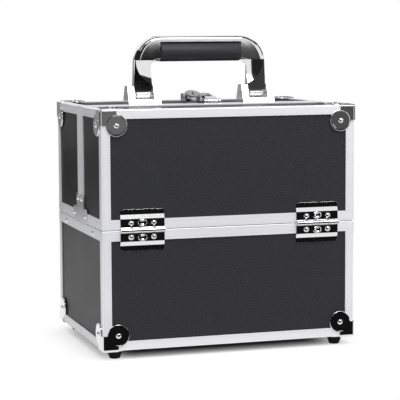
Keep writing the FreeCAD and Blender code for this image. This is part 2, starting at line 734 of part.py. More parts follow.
lower_leaves = [leaf(f"lower_leaf_{sx}_{side}".replace("-", "n"), sx, side, -1, base_holes)
                for side in (-1, 1) for sx in (-1, 1)]
node(group("lower_leaves", lower_leaves), "base_hinge_leaves")
pins = [cylinder(f"hinge_pin_{sx}_{side}".replace("-", "n"), s.pin_radius, s.hinge_width,
                 (sx * hinge_middle - s.hinge_width / 2, side * hinge_y, joint_z), "x")
        for side in (-1, 1) for sx in (-1, 1)]
node(group("hinge_pins_all", pins), "hinge_pins")

# Pivot strips inside the base ends: one per end, with a stud for the front and the rear arms

pivot_y = hinge_y - s.pivot_spread
end_x = {-1: wall_span(half_w, -1, plate_out, plate_in), 1: wall_span(half_w, 1, plate_out, plate_in)}
inward = {-1: "x", 1: "-x"}


def strip(sx):
    level = joint_z - s.strip_rivet_drop
    span = (level - s.bar_width / 2, level + s.bar_width / 2)
    pieces = [box(f"strip_bar_{sx + 1}", end_x[sx], (-pivot_y, pivot_y), span)]
    start = half_w * sx - sx * plate_out
    for sy in (-1, 1):
        at = (start, sy * pivot_y, joint_z)
        pieces.append(cylinder(f"strip_ear_{sx + 1}_{sy + 1}", s.bar_width / 2, s.bar_wall, at, inward[sx]))
        low = box(f"strip_low_{sx + 1}_{sy + 1}", end_x[sx],
                  (sy * pivot_y - s.bar_width / 2, sy * pivot_y + s.bar_width / 2), (span[0], joint_z))
        pieces.append(low)
        pieces.append(cylinder(f"strip_stud_{sx + 1}_{sy + 1}", s.stud_radius, arm_in - plate_out,
                               at, inward[sx]))
    return cut(f"strip_{sx + 1}", fuse(f"strip_solid_{sx + 1}", pieces), base_holes)


node(group("strips", [strip(-1), strip(1)]), "base_pivot_strips")

# Tray pivots, measured from the lid hinge axis or from the arm pivot

lean_in = sine(s.arm_lean)
lean_up = cosine(s.arm_lean)
upper_reach = s.lower_reach + (s.lower_tray_height + s.tray_gap) / lean_up
lower_in, lower_up = s.lower_reach * lean_in, s.lower_reach * lean_up
upper_in, upper_up = upper_reach * lean_in, upper_reach * lean_up
stud_bite = s.tray_end_wall - s.part_gap


def pivot_bars(name, side):
    """Bars inside the ends of one lid half, with studs that carry both trays."""
    bars = []
    for sx in (-1, 1):
        start = sx * (half_w - plate_out)
        tag = f"{name}_{sx + 1}"
        upright = (-s.bar_width / 2, s.bar_width / 2)
        length = upper_reach - s.lower_reach
        wall = (0, s.bar_wall)
        rise = box(f"{tag}_rise", wall, upright, (0, length))
        ends = [cylinder(f"{tag}_end_{i}", s.bar_width / 2, s.bar_wall, (0, 0, i * length), "x")
                for i in (0, 1)]
        at = (start if sx < 0 else start - s.bar_wall, side * (hinge_y - lower_in), joint_z + lower_up)
        bar = tilt_about_x(fuse(f"{tag}_bar", [rise, *ends]), at, s.arm_lean, side)
        studs = [cylinder(f"{tag}_stud_{i}", s.stud_radius, tray_end - plate_out + stud_bite,
                          (start, side * (hinge_y - reach_in), joint_z + reach_up), inward[sx])
                 for i, (reach_in, reach_up) in enumerate(((lower_in, lower_up), (upper_in, upper_up)))]
        bars.append(fuse(tag, [bar, *studs]))
    return group(name, bars)


tray_end = arm_in + s.part_gap


def arms(name, side):
    """The flat arms of one half, left and right, from the base stud to both trays."""
    pieces = []
    for sx in (-1, 1):
        start = sx * (half_w - arm_out)
        tag = f"{name}_{sx + 1}"
        rise = box(f"{tag}_rise", (0, s.bar_wall), (-s.bar_width / 2, s.bar_width / 2), (0, upper_reach))
        ends = [cylinder(f"{tag}_end_{i}", s.bar_width / 2, s.bar_wall, (0, 0, i * upper_reach), "x")
                for i in (0, 1)]
        hole = cylinder(f"{tag}_hole", s.stud_radius + s.pin_play, s.bar_wall * 3, (-s.bar_wall, 0, 0), "x")
        at = (start if sx < 0 else start - s.bar_wall, side * pivot_y, joint_z)
        bored = cut(f"{tag}_bored", fuse(f"{tag}_solid", [rise, *ends]), hole)
        flat = tilt_about_x(bored, at, s.arm_lean, side)
        studs = [cylinder(f"{tag}_stud_{i}", s.stud_radius, tray_end - arm_out + stud_bite,
                          (start, side * (pivot_y - reach_in), joint_z + reach_up), inward[sx])
                 for i, (reach_in, reach_up) in enumerate(((lower_in, lower_up), (upper_in, upper_up)))]
        pieces.append(fuse(tag, [flat, *studs]))
    return group(name, pieces)


def tray(name, side, reach_in, reach_up, height, cells):
    """A moulded tray with equal cells and a stud hole for each arm and pivot bar."""
    outer = half_d - s.tray_front_gap
    low = joint_z + reach_up - s.tray_drop
    near, far = (s.tray_mid_gap, outer) if side > 0 else (-outer, -s.tray_mid_gap)
    rim = [(-tray_half, near, s.tray_round), (tray_half, near, s.tray_round),
           (tray_half, far, s.tray_round), (-tray_half, far, s.tray_round)]
    block = prism(f"{name}_block", "xy", rim, low, low + height)
    room = tray_half * 2 - s.tray_end_wall * 2 - s.tray_wall * (cells - 1)
    width = room / cells
    tools = []
    for cell in range(cells):
        start = -tray_half + s.tray_end_wall + (width + s.tray_wall) * cell
        soft = s.tray_round - s.tray_wall
        pocket = [(start, near + s.tray_wall, soft), (start + width, near + s.tray_wall, soft),
                  (start + width, far - s.tray_wall, soft), (start, far - s.tray_wall, soft)]
        rise = (low + s.tray_wall, low + height + TOOL_OVERRUN)
        tools.append(prism(f"{name}_cell_{cell}", "xy", pocket, *rise))
    for sx in (-1, 1):
        for i, axis_y in enumerate((hinge_y, pivot_y)):
            at = (sx * tray_half, side * (axis_y - reach_in), joint_z + reach_up)
            tools.append(cylinder(f"{name}_hole_{sx + 1}_{i}", s.stud_radius + s.pin_play, s.tray_end_wall,
                                  at, inward[sx]))
    return cut(name, block, group(f"{name}_tools", tools))


for side, half_name in ((-1, "front"), (1, "rear")):
    node(arms(f"{half_name}_arm_pair", side), f"{half_name}_arms")
    node(tray(f"{half_name}_low", side, lower_in, lower_up, s.lower_tray_height, LOWER_TRAY_CELLS),
         f"{half_name}_lower_tray")
    node(tray(f"{half_name}_high", side, upper_in, upper_up, s.upper_tray_height, UPPER_TRAY_CELLS),
         f"{half_name}_upper_tray")

# Handle, brackets and lock positions on the rear lid half

handle_y = s.handle_setback
handle_top = top_z + s.handle_rise
pivot_z = top_z + s.pivot_rise
leg_middle = s.handle_half - s.leg_width / 2
seam_face = {-1: -s.seam_offset - s.seam_gap / 2, 1: -s.seam_offset + s.seam_gap / 2}
board_top = top_z - panel_out
seam_step = seam_face[1] + s.seam_leg + s.edge_play


def top_screw(name, x, y):
    """A screw from inside the lid up into a fitting on top of it."""
    low = top_z - panel_in - s.screw_head_height
    head = cylinder(f"{name}_head", s.screw_head, s.screw_head_height, (x, y, low), "z")
    length = s.screw_head_height + panel_in + s.screw_bite
    shank = cylinder(f"{name}_shank", s.rivet_shank, length, (x, y, low), "z")
    return fuse(name, [head, shank])


def top_hole(name, x, y):
    low = top_z - panel_in - s.screw_head_height
    length = s.screw_head_height + panel_in + s.screw_bite + s.drill_play
    return cylinder(name, s.rivet_shank + s.drill_play, length, (x, y, low), "z")


lock_low = seam_face[1] + s.lock_lead
lock_high = lock_low + s.lock_depth
bracket_screw_x = s.bracket_slot / 4
rear_screw_spots = [(sx * leg_middle + end * bracket_screw_x, handle_y + s.bracket_screw)
                    for sx in (-1, 1) for end in (-1, 1)]
rear_screw_spots += [(sx * s.lock_half / 2, lock_high - s.bracket_screw) for sx in (-1, 1)]
rear_screw_holes = group("rear_screw_holes", [top_hole(f"rear_screw_hole_{i}", x, y)
                                              for i, (x, y) in enumerate(rear_screw_spots)])
rear_head_rooms = group("rear_head_rooms", [
    cylinder(f"rear_head_room_{i}", s.screw_head + s.drill_play, s.screw_head_height,
             (x, y, top_z - panel_in - s.screw_head_height), "z")
    for i, (x, y) in enumerate(rear_screw_spots)])
node(group("rear_screws", [top_screw(f"rear_screw_{i}", x, y) for i, (x, y) in enumerate(rear_screw_spots)]),
     "rear_lid_screws")

# Lid halves


def l_plate(name, sx, side):
    """A flat L plate over the foot of the seam on one end."""
    seam, rise = seam_face[side], lid_rim_z
    corners = [(0, 0), (s.plate_length, 0, s.plate_round), (s.plate_length, s.plate_width, s.plate_round),
               (s.plate_width, s.plate_width), (s.plate_width, s.plate_length, s.plate_round),
               (0, s.plate_length, s.plate_round)]
    placed = [(seam + side * spot[0], rise + spot[1], *spot[2:]) for spot in corners]
    low, high = (half_w, half_w + s.plate_wall) if sx > 0 else (-half_w - s.plate_wall, -half_w)
    return prism(name, "yz", placed, low, high)


def plate_spots(side):
    spots = []
    for sx, way in ((-1, "-x"), (1, "x")):
        for out, up in ((s.plate_width / 2, s.plate_rivet), (s.plate_rivet, s.plate_width / 2)):
            at = (sx * (half_w + s.plate_wall), seam_face[side] + side * out, lid_rim_z + up)
            spots.append((at, way, s.plate_wall + panel_in))
    return spots


def ordered(first, second):
    return (first, second) if first.number < second.number else (second, first)


def lid_half(half_name, side, caps, extra_holes):
    """Panels, trims, caps, plates, lining, hinge leaves and pivot bars of one lid half."""
    tag = f"{half_name}_lid"
    face = side * half_d
    seam = seam_face[side]
    seam_end = seam + side * (s.seam_leg + s.kerf)
    spots = [spot for sx in (-1, 1) for spot in cap_spots(sx, side, 1)]
    spots += hinge_spots(side, 1) + plate_spots(side)
    rivets, holes = rivet_set(f"{tag}_rivet_set", spots)
    drills = group(f"{tag}_drills", [holes, *extra_holes])
    node(rivets, f"{tag}_rivets")
    node(cut(f"{tag}_caps", caps, holes), f"{tag}_corner_caps")

    depth = ordered(face - side * panel_edge, seam + side * web_edge)
    rise = (lid_rim_z + web_edge, top_z - panel_edge)
    boards = {
        f"{half_name}_panel": (across_w, wall_span(half_d, side, panel_out, panel_in), rise),
        "top_panel": (across_w, depth, (top_z - panel_in, top_z - panel_out)),
        "left_panel": (wall_span(half_w, -1, panel_out, panel_in), depth, rise),
        "right_panel": (wall_span(half_w, 1, panel_out, panel_in), depth, rise),
    }
    for label, spans in boards.items():
        node(cut(f"{tag}_{label}_drilled", box(f"{tag}_{label}_board", *spans), drills), f"{tag}_{label}")

    path = [(-half_w, seam_end), (-half_w, face), (half_w, face), (half_w, seam_end)]
    top_edge = sweep(f"{tag}_top_edge", edge_profile, (-half_w, seam_end, top_z), "x", "-z",
                     path, "xy", top_z, False)
    top_mitres = group(f"{tag}_top_mitres", [
        mitre(f"{tag}_top_mitre_{sx + 1}", "xy", (sx * half_w, face), (-sx, -side), s.trim_leg,
              (top_z - s.trim_leg - MITRE_OVERRUN, top_z + MITRE_OVERRUN)) for sx in (-1, 1)])
    posts = [corner_post(f"{tag}_post_{sx + 1}", sx, side, lid_rim_z + s.rim_leg, top_z - s.trim_leg)
             for sx in (-1, 1)]
    node(group(f"{tag}_edges", [cut(f"{tag}_top_trims", top_edge, top_mitres), *posts]), f"{tag}_edge_trims")

    rim = sweep(f"{tag}_rim", lip_profile(s.rim_leg), (-half_w, seam_end, lid_rim_z), "x", "z",
                path, "xy", lid_rim_z, False)
    rim_slabs = [mitre(f"{tag}_rim_mitre_{sx + 1}", "xy", (sx * half_w, face), (-sx, -side), core,
                       (lid_rim_z - MITRE_OVERRUN, lid_rim_z + s.rim_leg + MITRE_OVERRUN)) for sx in (-1, 1)]
    node(cut(f"{tag}_rims", rim, group(f"{tag}_rim_tools", [*rim_slabs, holes])), f"{tag}_rim_trims")

    arch = [(-half_w, lid_rim_z), (-half_w, top_z), (half_w, top_z), (half_w, lid_rim_z)]
    seam_sweep = sweep(f"{tag}_seam", lip_profile(s.seam_leg), (-half_w, seam, lid_rim_z), "x",
                       "y" if side > 0 else "-y", arch, "xz", seam, False)
    band = ordered(seam - side * MITRE_OVERRUN, seam + side * (s.seam_leg + MITRE_OVERRUN))
    seam_slabs = [mitre(f"{tag}_seam_mitre_{sx + 1}", "xz", (sx * half_w, top_z), (-sx, -1), core, band)
                  for sx in (-1, 1)]
    seam_tools = group(f"{tag}_seam_tools", [*seam_slabs, holes])
    node(cut(f"{tag}_seams", seam_sweep, seam_tools), f"{tag}_seam_trims")

    plates = group(f"{tag}_plates", [l_plate(f"{tag}_plate_{sx + 1}", sx, side) for sx in (-1, 1)])
    node(cut(f"{tag}_plates_drilled", plates, holes), f"{tag}_corner_plates")

    lined_rise = (lid_rim_z + lip_inset, top_z - edge_inset)
    lined_depth = ordered(face - side * edge_inset, seam + side * lip_inset)
    top_sheet = box(f"{tag}_lining_top", lined_w, lined_depth, (top_z - lining_in, top_z - lining_out))
    if extra_holes:
        top_sheet = cut(f"{tag}_lining_top_cut", top_sheet, rear_head_rooms)
    sheets = [
        box(f"{tag}_lining_face", lined_w, wall_span(half_d, side, lining_out, lining_in), lined_rise),
        top_sheet,
        box(f"{tag}_lining_left", wall_span(half_w, -1, lining_out, lining_in), lined_depth, lined_rise),
        box(f"{tag}_lining_right", wall_span(half_w, 1, lining_out, lining_in), lined_depth, lined_rise),
    ]
    node(group(f"{tag}_lining_sheets", sheets), f"{tag}_lining")

    leaves = [leaf(f"{tag}_leaf_{sx + 1}", sx, side, 1, holes) for sx in (-1, 1)]
    node(group(f"{tag}_leaves", leaves), f"{tag}_hinge_leaves")
    node(pivot_bars(f"{tag}_bars", side), f"{tag}_pivot_bars")


lid_half("front", -1, cap_top_front, [])
lid_half("rear", 1, cap_top_rear, [rear_screw_holes])

# Handle brackets, pins, frame and grip

bracket_side = [(handle_y - s.bracket_base / 2, top_z), (seam_step, top_z), (seam_step, board_top),
                (handle_y + s.bracket_base / 2, board_top), (handle_y + s.bracket_base / 2, top_z),
                (handle_y + s.bracket_crown / 2, top_z + s.bracket_height),
                (handle_y - s.bracket_crown / 2, top_z + s.bracket_height)]
bracket_pieces = []
pin_pieces = []
for sx in (-1, 1):
    middle = sx * leg_middle
    ends = (middle - s.bracket_width / 2, middle + s.bracket_width / 2)
    wedge = prism(f"bracket_wedge_{sx + 1}", "yz", bracket_side, *ends)
    leg_room = box(f"bracket_slot_{sx + 1}", (middle - s.bracket_slot / 2, middle + s.bracket_slot / 2),
                   (handle_y - s.bracket_base, handle_y + s.bracket_base),
                   (top_z + s.bracket_floor, top_z + s.bracket_height + TOOL_OVERRUN))
    pin_hole = cylinder(f"bracket_hole_{sx + 1}", s.handle_pin + s.pin_play, s.bracket_width,
                        (ends[0], handle_y, pivot_z), "x")
    tools = group(f"bracket_tools_{sx + 1}", [leg_room, pin_hole, rear_screw_holes])
    bracket_pieces.append(cut(f"bracket_{sx + 1}", wedge, tools))
    pin_pieces.append(cylinder(f"handle_pin_{sx + 1}", s.handle_pin, s.bracket_width,
                               (ends[0], handle_y, pivot_z), "x"))
node(group("brackets", bracket_pieces), "handle_brackets")
node(group("handle_pins_all", pin_pieces), "handle_pins")

leg_low = top_z + s.leg_foot
leg_in = s.handle_half - s.leg_width
spine_low = handle_top - s.spine_height
grip_low = spine_low - s.grip_height
handle_front = [
    (-s.handle_half, leg_low), (-s.handle_half, handle_top, s.elbow_round),
    (s.handle_half, handle_top, s.elbow_round), (s.handle_half, leg_low),
    (leg_in, leg_low), (leg_in, grip_low, s.crook_round), (s.grip_half, grip_low),
    (s.grip_half, spine_low), (-s.grip_half, spine_low),
    (-s.grip_half, grip_low), (-leg_in, grip_low, s.crook_round), (-leg_in, leg_low),
]
front_faces = (handle_y - s.leg_depth / 2, handle_y + s.leg_depth / 2)
handle_block = prism("handle_block", "xz", handle_front, *front_faces)


def handle_rounding(ends):
    """Edges of the handle's faces are rounded most at the elbow, and not at the seat of the grip.

    The ends are taken from left to right, which is the way the outline runs over the top.
    """
    ends = sorted(ends, key=lambda point: round(point.x, 3))
    levels = [face.number for face in front_faces]
    flat = any(all(abs(point.y - level) < TOUCH for point in ends) for level in levels)
    seat = any(abs(point.x) < s.grip_half.number + TOUCH and point.z < spine_low.number + TOUCH
               for point in ends)
    at_foot = [point.z < leg_low.number + TOUCH for point in ends]
    if seat or not flat or all(at_foot):
        return []
    sizes = []
    for point, foot in zip(ends, at_foot):
        outside = abs(point.x) > leg_in.number + TOUCH
        upper = s.elbow_edge if outside else s.handle_edge
        sizes.append(s.foot_edge if foot else upper)
    return sizes


handle_soft = rounded("handle_soft", handle_block, handle_rounding)
taper_top = leg_low + s.leg_taper
handle_side = [(handle_y - s.leg_tip_depth / 2, leg_low), (handle_y + s.leg_tip_depth / 2, leg_low),
               (front_faces[1], taper_top), (front_faces[1], handle_top), (front_faces[0], handle_top),
               (front_faces[0], taper_top)]
handle_taper = prism("handle_taper", "yz", handle_side, -s.handle_half, s.handle_half)
handle_pieces = [common("handle_legs", handle_soft, handle_taper)]
eye_holes = []
for sx in (-1, 1):
    low_x = sx * leg_middle - s.eye_width / 2
    at = (low_x, handle_y, pivot_z)
    handle_pieces.append(cylinder(f"eye_{sx + 1}", s.eye_radius, s.eye_width, at, "x"))
    handle_pieces.append(box(f"eye_neck_{sx + 1}", (low_x, low_x + s.eye_width),
                             (handle_y - s.eye_neck / 2, handle_y + s.eye_neck / 2),
                             (pivot_z, leg_low + s.eye_radius)))
    eye_holes.append(cylinder(f"eye_hole_{sx + 1}", s.handle_pin + s.pin_play, s.eye_width, at, "x"))
node(cut("handle_bored", fuse("handle_solid", handle_pieces), group("eye_holes", eye_holes)), "handle_frame")

grip_ends = (-s.grip_half + s.grip_play, s.grip_half - s.grip_play)
grip_faces = (handle_y - s.grip_depth / 2, handle_y + s.grip_depth / 2)
grip_section = [(grip_faces[0], grip_low, s.grip_round), (grip_faces[1], grip_low, s.grip_round),
                (grip_faces[1], spine_low, s.grip_round), (grip_faces[0], spine_low, s.grip_round)]
node(prism("grip", "yz", grip_section, *grip_ends), "handle_grip")

# Lock body, key barrel and slide button on the slope of the lock

slope_run = s.lock_depth - s.lock_crown
slope = slope_angle(s.lock_back - s.lock_front, slope_run)
slope_middle = (lock_low + slope_run / 2, top_z + (s.lock_front + s.lock_back) / 2)
lock_side = [(lock_low, top_z), (seam_step, top_z), (seam_step, board_top), (lock_high, board_top),
             (lock_high, top_z + s.lock_back), (lock_high - s.lock_crown, top_z + s.lock_back),
             (lock_low, top_z + s.lock_front)]
lock_block = prism("lock_block", "yz", lock_side, -s.lock_half, s.lock_half)
lock_top = top_z + s.lock_back
shoulder_x = s.lock_half - s.lock_shoulder
shoulder_low = lock_top - s.lock_fall
past_end = s.lock_half + TOOL_OVERRUN
past_top = lock_top + TOOL_OVERRUN
shoulder = [(shoulder_x, lock_top), (s.lock_half, shoulder_low), (past_end, shoulder_low),
            (past_end, past_top), (shoulder_x, past_top)]
shoulder_tool = prism("shoulder_tool", "xz", shoulder, lock_low - TOOL_OVERRUN, lock_high + TOOL_OVERRUN)


def on_slope(thing, x, across, up):
    """Set a thing on the slope of the lock, its own origin at a spot measured along and out of it."""
    at = (x, slope_middle[0] + across * cosine(slope) - up * sine(slope),
          slope_middle[1] + across * sine(slope) + up * cosine(slope))
    return tilt_about_x(thing, at, slope, 1)


def slope_round(name, radius, low, high, x):
    thing = doc.addObject("Part::Cylinder", name)
    bind(thing, "Radius", radius)
    bind(thing, "Height", high - low)
    return on_slope(thing, x, Size.of(0), low)


def slope_block(name, x, across, up):
    thing = doc.addObject("Part::Box", name)
    for prop, (low, high) in zip(("Length", "Width", "Height"), (x, across, up)):
        bind(thing, prop, high - low)
    return on_slope(thing, x[0], across[0], up[0])


barrel_x = s.lock_cheek + s.boss_radius - s.lock_half
lock_boss = slope_round("lock_boss", s.boss_radius, -s.boss_root, s.boss_rise, barrel_x)
barrel_round = slope_round("barrel_round", s.lock_barrel_radius, -s.lock_barrel_depth,
                           s.lock_barrel_rise, barrel_x)
key_slot = slope_block("key_slot", (barrel_x - s.key_width / 2, barrel_x + s.key_width / 2),
                       (-s.key_length / 2, s.key_length / 2),
                       (s.boss_rise / 2, s.lock_barrel_rise + TOOL_OVERRUN))
node(cut("barrel_cut", barrel_round, key_slot), "lock_barrel")
barrel_room = slope_round("barrel_room", s.lock_barrel_radius + s.part_gap, -s.lock_barrel_depth - s.part_gap,
                          s.lock_back, barrel_x)

button_end = shoulder_x - s.button_cheek
button_span = (button_end - s.button_half * 2, button_end)
button_across = (-s.button_depth / 2, s.button_depth / 2)
button_sunk = slope_block("button_sunk", button_span, button_across, (-s.button_sink, s.button_rise / 2))
button_crown = (button_span[0] + s.button_rise / 2, button_span[1] - s.button_rise / 2)
button_top = slope_block("button_top", button_crown, button_across, (Size.of(0), s.button_rise))
node(fuse("button_solid", [button_sunk, button_top]), "lock_button")
button_room = slope_block("button_room",
                          (button_span[0] - s.button_travel - s.part_gap, button_end + s.part_gap),
                          (button_across[0] - s.part_gap, button_across[1] + s.part_gap),
                          (-s.button_sink - s.part_gap, s.lock_back))
hasp_recess = box("hasp_recess",
                  (s.hasp_offset - s.hasp_half - s.recess_play, s.hasp_offset + s.hasp_half + s.recess_play),
                  (lock_low - TOOL_OVERRUN, lock_low + s.recess_depth),
                  (top_z + s.recess_floor, top_z + s.lock_back))
lock_tools = group("lock_tools", [barrel_room, button_room, hasp_recess, shoulder_tool, rear_screw_holes])
node(cut("lock_cut", fuse("lock_solid", [lock_block, lock_boss]), lock_tools), "lock_body")

# Hasp and its base on the front lid half

hasp_y = seam_face[-1] - s.hasp_setback
hasp_z = top_z + s.hasp_rise
ear_reach = s.hasp_eye + s.part_gap
ear_pieces = [box("hasp_foot",
                  (s.hasp_offset - s.hasp_half - s.hasp_ear, s.hasp_offset + s.hasp_half + s.hasp_ear),
                  (hasp_y - ear_reach, hasp_y + ear_reach), (top_z, hasp_z - ear_reach)),
              cylinder("hasp_pin_rod", s.hasp_pin, s.hasp_half * 2 + s.hasp_ear * 2,
                       (s.hasp_offset - s.hasp_half - s.hasp_ear, hasp_y, hasp_z), "x")]
for sx in (-1, 1):
    near = s.hasp_offset + sx * (s.hasp_half + s.part_gap)
    far = s.hasp_offset + sx * (s.hasp_half + s.hasp_ear)
    ear_pieces.append(box(f"hasp_ear_{sx + 1}", ordered(near, far),
                          (hasp_y - s.hasp_eye, hasp_y + s.hasp_eye), (top_z, hasp_z)))
    ear_pieces.append(cylinder(f"hasp_ear_round_{sx + 1}", s.hasp_eye, s.hasp_ear - s.part_gap,
                               (ordered(near, far)[0], hasp_y, hasp_z), "x"))
node(fuse("hasp_base_solid", ear_pieces), "hasp_base")
hasp_plate = box("hasp_plate", (-s.hasp_half, s.hasp_half), (0, s.hasp_length),
                 (-s.hasp_wall / 2, s.hasp_wall / 2))
hasp_knuckle = cylinder("hasp_knuckle", s.hasp_eye, s.hasp_half * 2, (-s.hasp_half, 0, 0), "x")
hasp_bore = cylinder("hasp_bore", s.hasp_pin + s.pin_play, s.hasp_half * 2, (-s.hasp_half, 0, 0), "x")
hasp = cut("hasp_cut", fuse("hasp_solid", [hasp_plate, hasp_knuckle]), hasp_bore)
node(tilt_about_x(hasp, (s.hasp_offset, hasp_y, hasp_z), s.hasp_lift, 1), "lock_hasp")

# Check every object and write the parts

doc.recompute()
for thing in doc.Objects:
    if "Invalid" in thing.State or "Error" in thing.State:
        raise RuntimeError(f"{thing.Name} did not compute: {thing.State}")
os.makedirs("parts", exist_ok=True)
for thing in nodes:
    if thing.Shape.isNull() or not thing.Shape.isValid() or not thing.Shape.Solids:
        raise RuntimeError(f"{thing.Label} has no valid solid")
    thing.Shape.exportStep(os.path.join("parts", f"{thing.Label}.step"))
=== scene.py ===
import json
import math

import bpy
from bpy.props import FloatProperty, FloatVectorProperty, IntProperty, PointerProperty
from mathutils import Matrix, Vector


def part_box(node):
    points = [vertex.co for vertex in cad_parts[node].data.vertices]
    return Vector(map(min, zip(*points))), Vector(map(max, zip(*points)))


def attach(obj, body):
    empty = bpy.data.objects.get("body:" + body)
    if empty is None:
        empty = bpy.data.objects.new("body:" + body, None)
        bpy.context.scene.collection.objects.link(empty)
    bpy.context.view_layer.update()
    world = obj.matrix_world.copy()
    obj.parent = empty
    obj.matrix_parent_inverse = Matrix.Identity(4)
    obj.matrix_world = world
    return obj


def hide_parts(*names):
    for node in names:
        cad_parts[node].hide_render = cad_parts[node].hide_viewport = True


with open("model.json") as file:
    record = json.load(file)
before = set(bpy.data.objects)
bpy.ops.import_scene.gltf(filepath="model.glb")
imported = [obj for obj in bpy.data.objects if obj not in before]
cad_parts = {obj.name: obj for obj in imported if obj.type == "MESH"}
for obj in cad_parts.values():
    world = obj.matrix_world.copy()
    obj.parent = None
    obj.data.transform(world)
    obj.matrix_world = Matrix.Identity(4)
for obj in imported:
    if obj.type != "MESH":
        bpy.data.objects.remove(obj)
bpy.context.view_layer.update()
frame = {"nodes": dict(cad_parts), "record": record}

bl_info = {
    "name": "Makeup train case",
    "version": (1, 0, 0),
    "blender": (4, 5, 0),
    "location": "3D View > Sidebar > Train Case",
    "description": "Finishes and fine metalwork of a hard makeup train case",
    "category": "Object",
}

MM = 0.001
# Points this near, in millimetres, count as the same place
NEAR = 0.06
# A normal with more than this along an axis looks that way
FACING = 0.6
# The same for the flat ends of a mesh
END_FACING = 0.9
# Points of a CAD mesh nearer than this, in millimetres, are merged
WELD = 0.002
# Faces of a CAD mesh that turn by fewer degrees are merged
FLAT_TURN = 0.5
# Weight of large faces in the shading normals, which keeps flats flat
FLAT_WEIGHT = 100
SIDES = (-1, 1)
BOXES = ("base", "front_lid", "rear_lid")
HALVES = ("front", "rear")
CORNERS = [(sx, sy, sz) for sx in SIDES for sy in SIDES for sz in SIDES]


# Where things are on the case, read from the frame, in millimetres

def edges_of(node):
    """Lowest and highest corner of a CAD node, in millimetres."""
    low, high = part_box(node)
    return low / MM, high / MM


POST_HIGH = edges_of("base_corner_posts")[1]
HALF_WIDTH = POST_HIGH.x
HALF_DEPTH = POST_HIGH.y
BOX_LOW = edges_of("base_bottom_trims")[0].z
BASE_RIM = edges_of("base_rim_trims")[1].z
LID_RIM = edges_of("front_lid_rim_trims")[0].z
JOINT = (BASE_RIM + LID_RIM) / 2
BOX_TOP = edges_of("front_lid_edge_trims")[1].z
SEAM = (edges_of("front_lid_seam_trims")[1].y + edges_of("rear_lid_seam_trims")[0].y) / 2
CAP_FACE = -edges_of("base_corner_caps")[0].x - HALF_WIDTH
HANDLE_LOW, HANDLE_HIGH = edges_of("handle_frame")
GRIP_LOW, GRIP_HIGH = edges_of("handle_grip")


# Sizes and colours a user may change

class CaseSizes(bpy.types.PropertyGroup):
    """Sizes of the fine detail, in millimetres."""

    emboss_pitch: FloatProperty(
        name="Emboss pitch", description="Diamond to diamond on the covered boards, mm",
        default=2.6, min=0.5)
    emboss_depth: FloatProperty(
        name="Emboss depth", description="Height of the diamonds on the covered boards, mm",
        default=0.22, min=0)
    trim_arris: FloatProperty(
        name="Trim arris", description="Broken edge of the extruded trims, mm", default=0.22, min=0.02)
    sheet_arris: FloatProperty(
        name="Sheet arris", description="Broken edge of the pressed fittings, mm", default=0.3, min=0.02)
    lobe_inset: FloatProperty(
        name="Cap lobe inset", description="Middle of a cap lobe from the edges of the case, mm",
        default=15)
    lobe_radius: FloatProperty(
        name="Lobe radius", description="Round lobe of a cap, mm", default=11, min=4)
    cap_rim: FloatProperty(
        name="Cap rim", description="Rounded rim of a pressed cap, mm", default=0.8, min=0.1)
    rosette_radius: FloatProperty(
        name="Rosette radius", description="Pressed ring round a cap rivet, mm", default=9.9, min=4)
    rosette_sides: IntProperty(
        name="Rosette sides", description="Points round a pressed ring", default=56, min=12)
    rosette_rise: FloatProperty(
        name="Rosette rise", description="Pressed ring above the face of a cap, mm", default=0.1, min=0.01)
    hinge_middle: FloatProperty(
        name="Hinge middle", description="Hinge from the middle of the case, mm", default=90)
    eyelet_rise: FloatProperty(
        name="Eyelet rise", description="Pressed eyelet from the joint, mm", default=7.2)
    eyelet_radius: FloatProperty(
        name="Eyelet radius", description="Half the width of a pressed eyelet, mm", default=4.6, min=3)
    eyelet_oval: FloatProperty(
        name="Eyelet oval", description="Height of a pressed eyelet to its width", default=0.78, min=0.1)
    leaf_proud: FloatProperty(
        name="Leaf face", description="Face of a hinge leaf in front of the posts, mm", default=1)
    scoop_radius: FloatProperty(
        name="Scoop radius", description="Ball that hollows the handle legs, mm", default=60, min=30)
    scoop_reach: FloatProperty(
        name="Scoop reach", description="Outline of the hollow on a leg face, mm", default=26.5, min=4)
    scoop_middle: FloatProperty(
        name="Scoop middle", description="Middle of the hollow from the middle of the handle, mm",
        default=42)
    scoop_drop: FloatProperty(
        name="Scoop drop", description="Top edge of the hollow below the top of the handle, mm",
        default=24.5)
    leg_setback: FloatProperty(
        name="Leg setback", description="Leg face behind the face of the elbow, mm", default=3, min=0.5)
    handle_arris: FloatProperty(
        name="Handle arris", description="Broken edge of the handle frame, mm", default=0.35, min=0.02)
    grip_rim: FloatProperty(
        name="Grip rim", description="Rounded rim at the ends of the grip, mm", default=1.1, min=0.1)
    grip_land: FloatProperty(
        name="Grip land", description="Flat round the dished ends of the grip, mm", default=3, min=0.5)
    grip_dish: FloatProperty(
        name="Grip dish", description="Depth of the dished ends of the grip, mm", default=0.6, min=0)
    moulded_arris: FloatProperty(
        name="Moulded arris", description="Rounded edge of the trays, mm", default=0.5, min=0.02)
    cast_arris: FloatProperty(
        name="Cast arris", description="Rounded edge of the brackets and the feet, mm",
        default=0.7, min=0.02)
    cloth_arris: FloatProperty(
        name="Cloth edge", description="Rounded edge of the lining, mm", default=0.35, min=0.02)


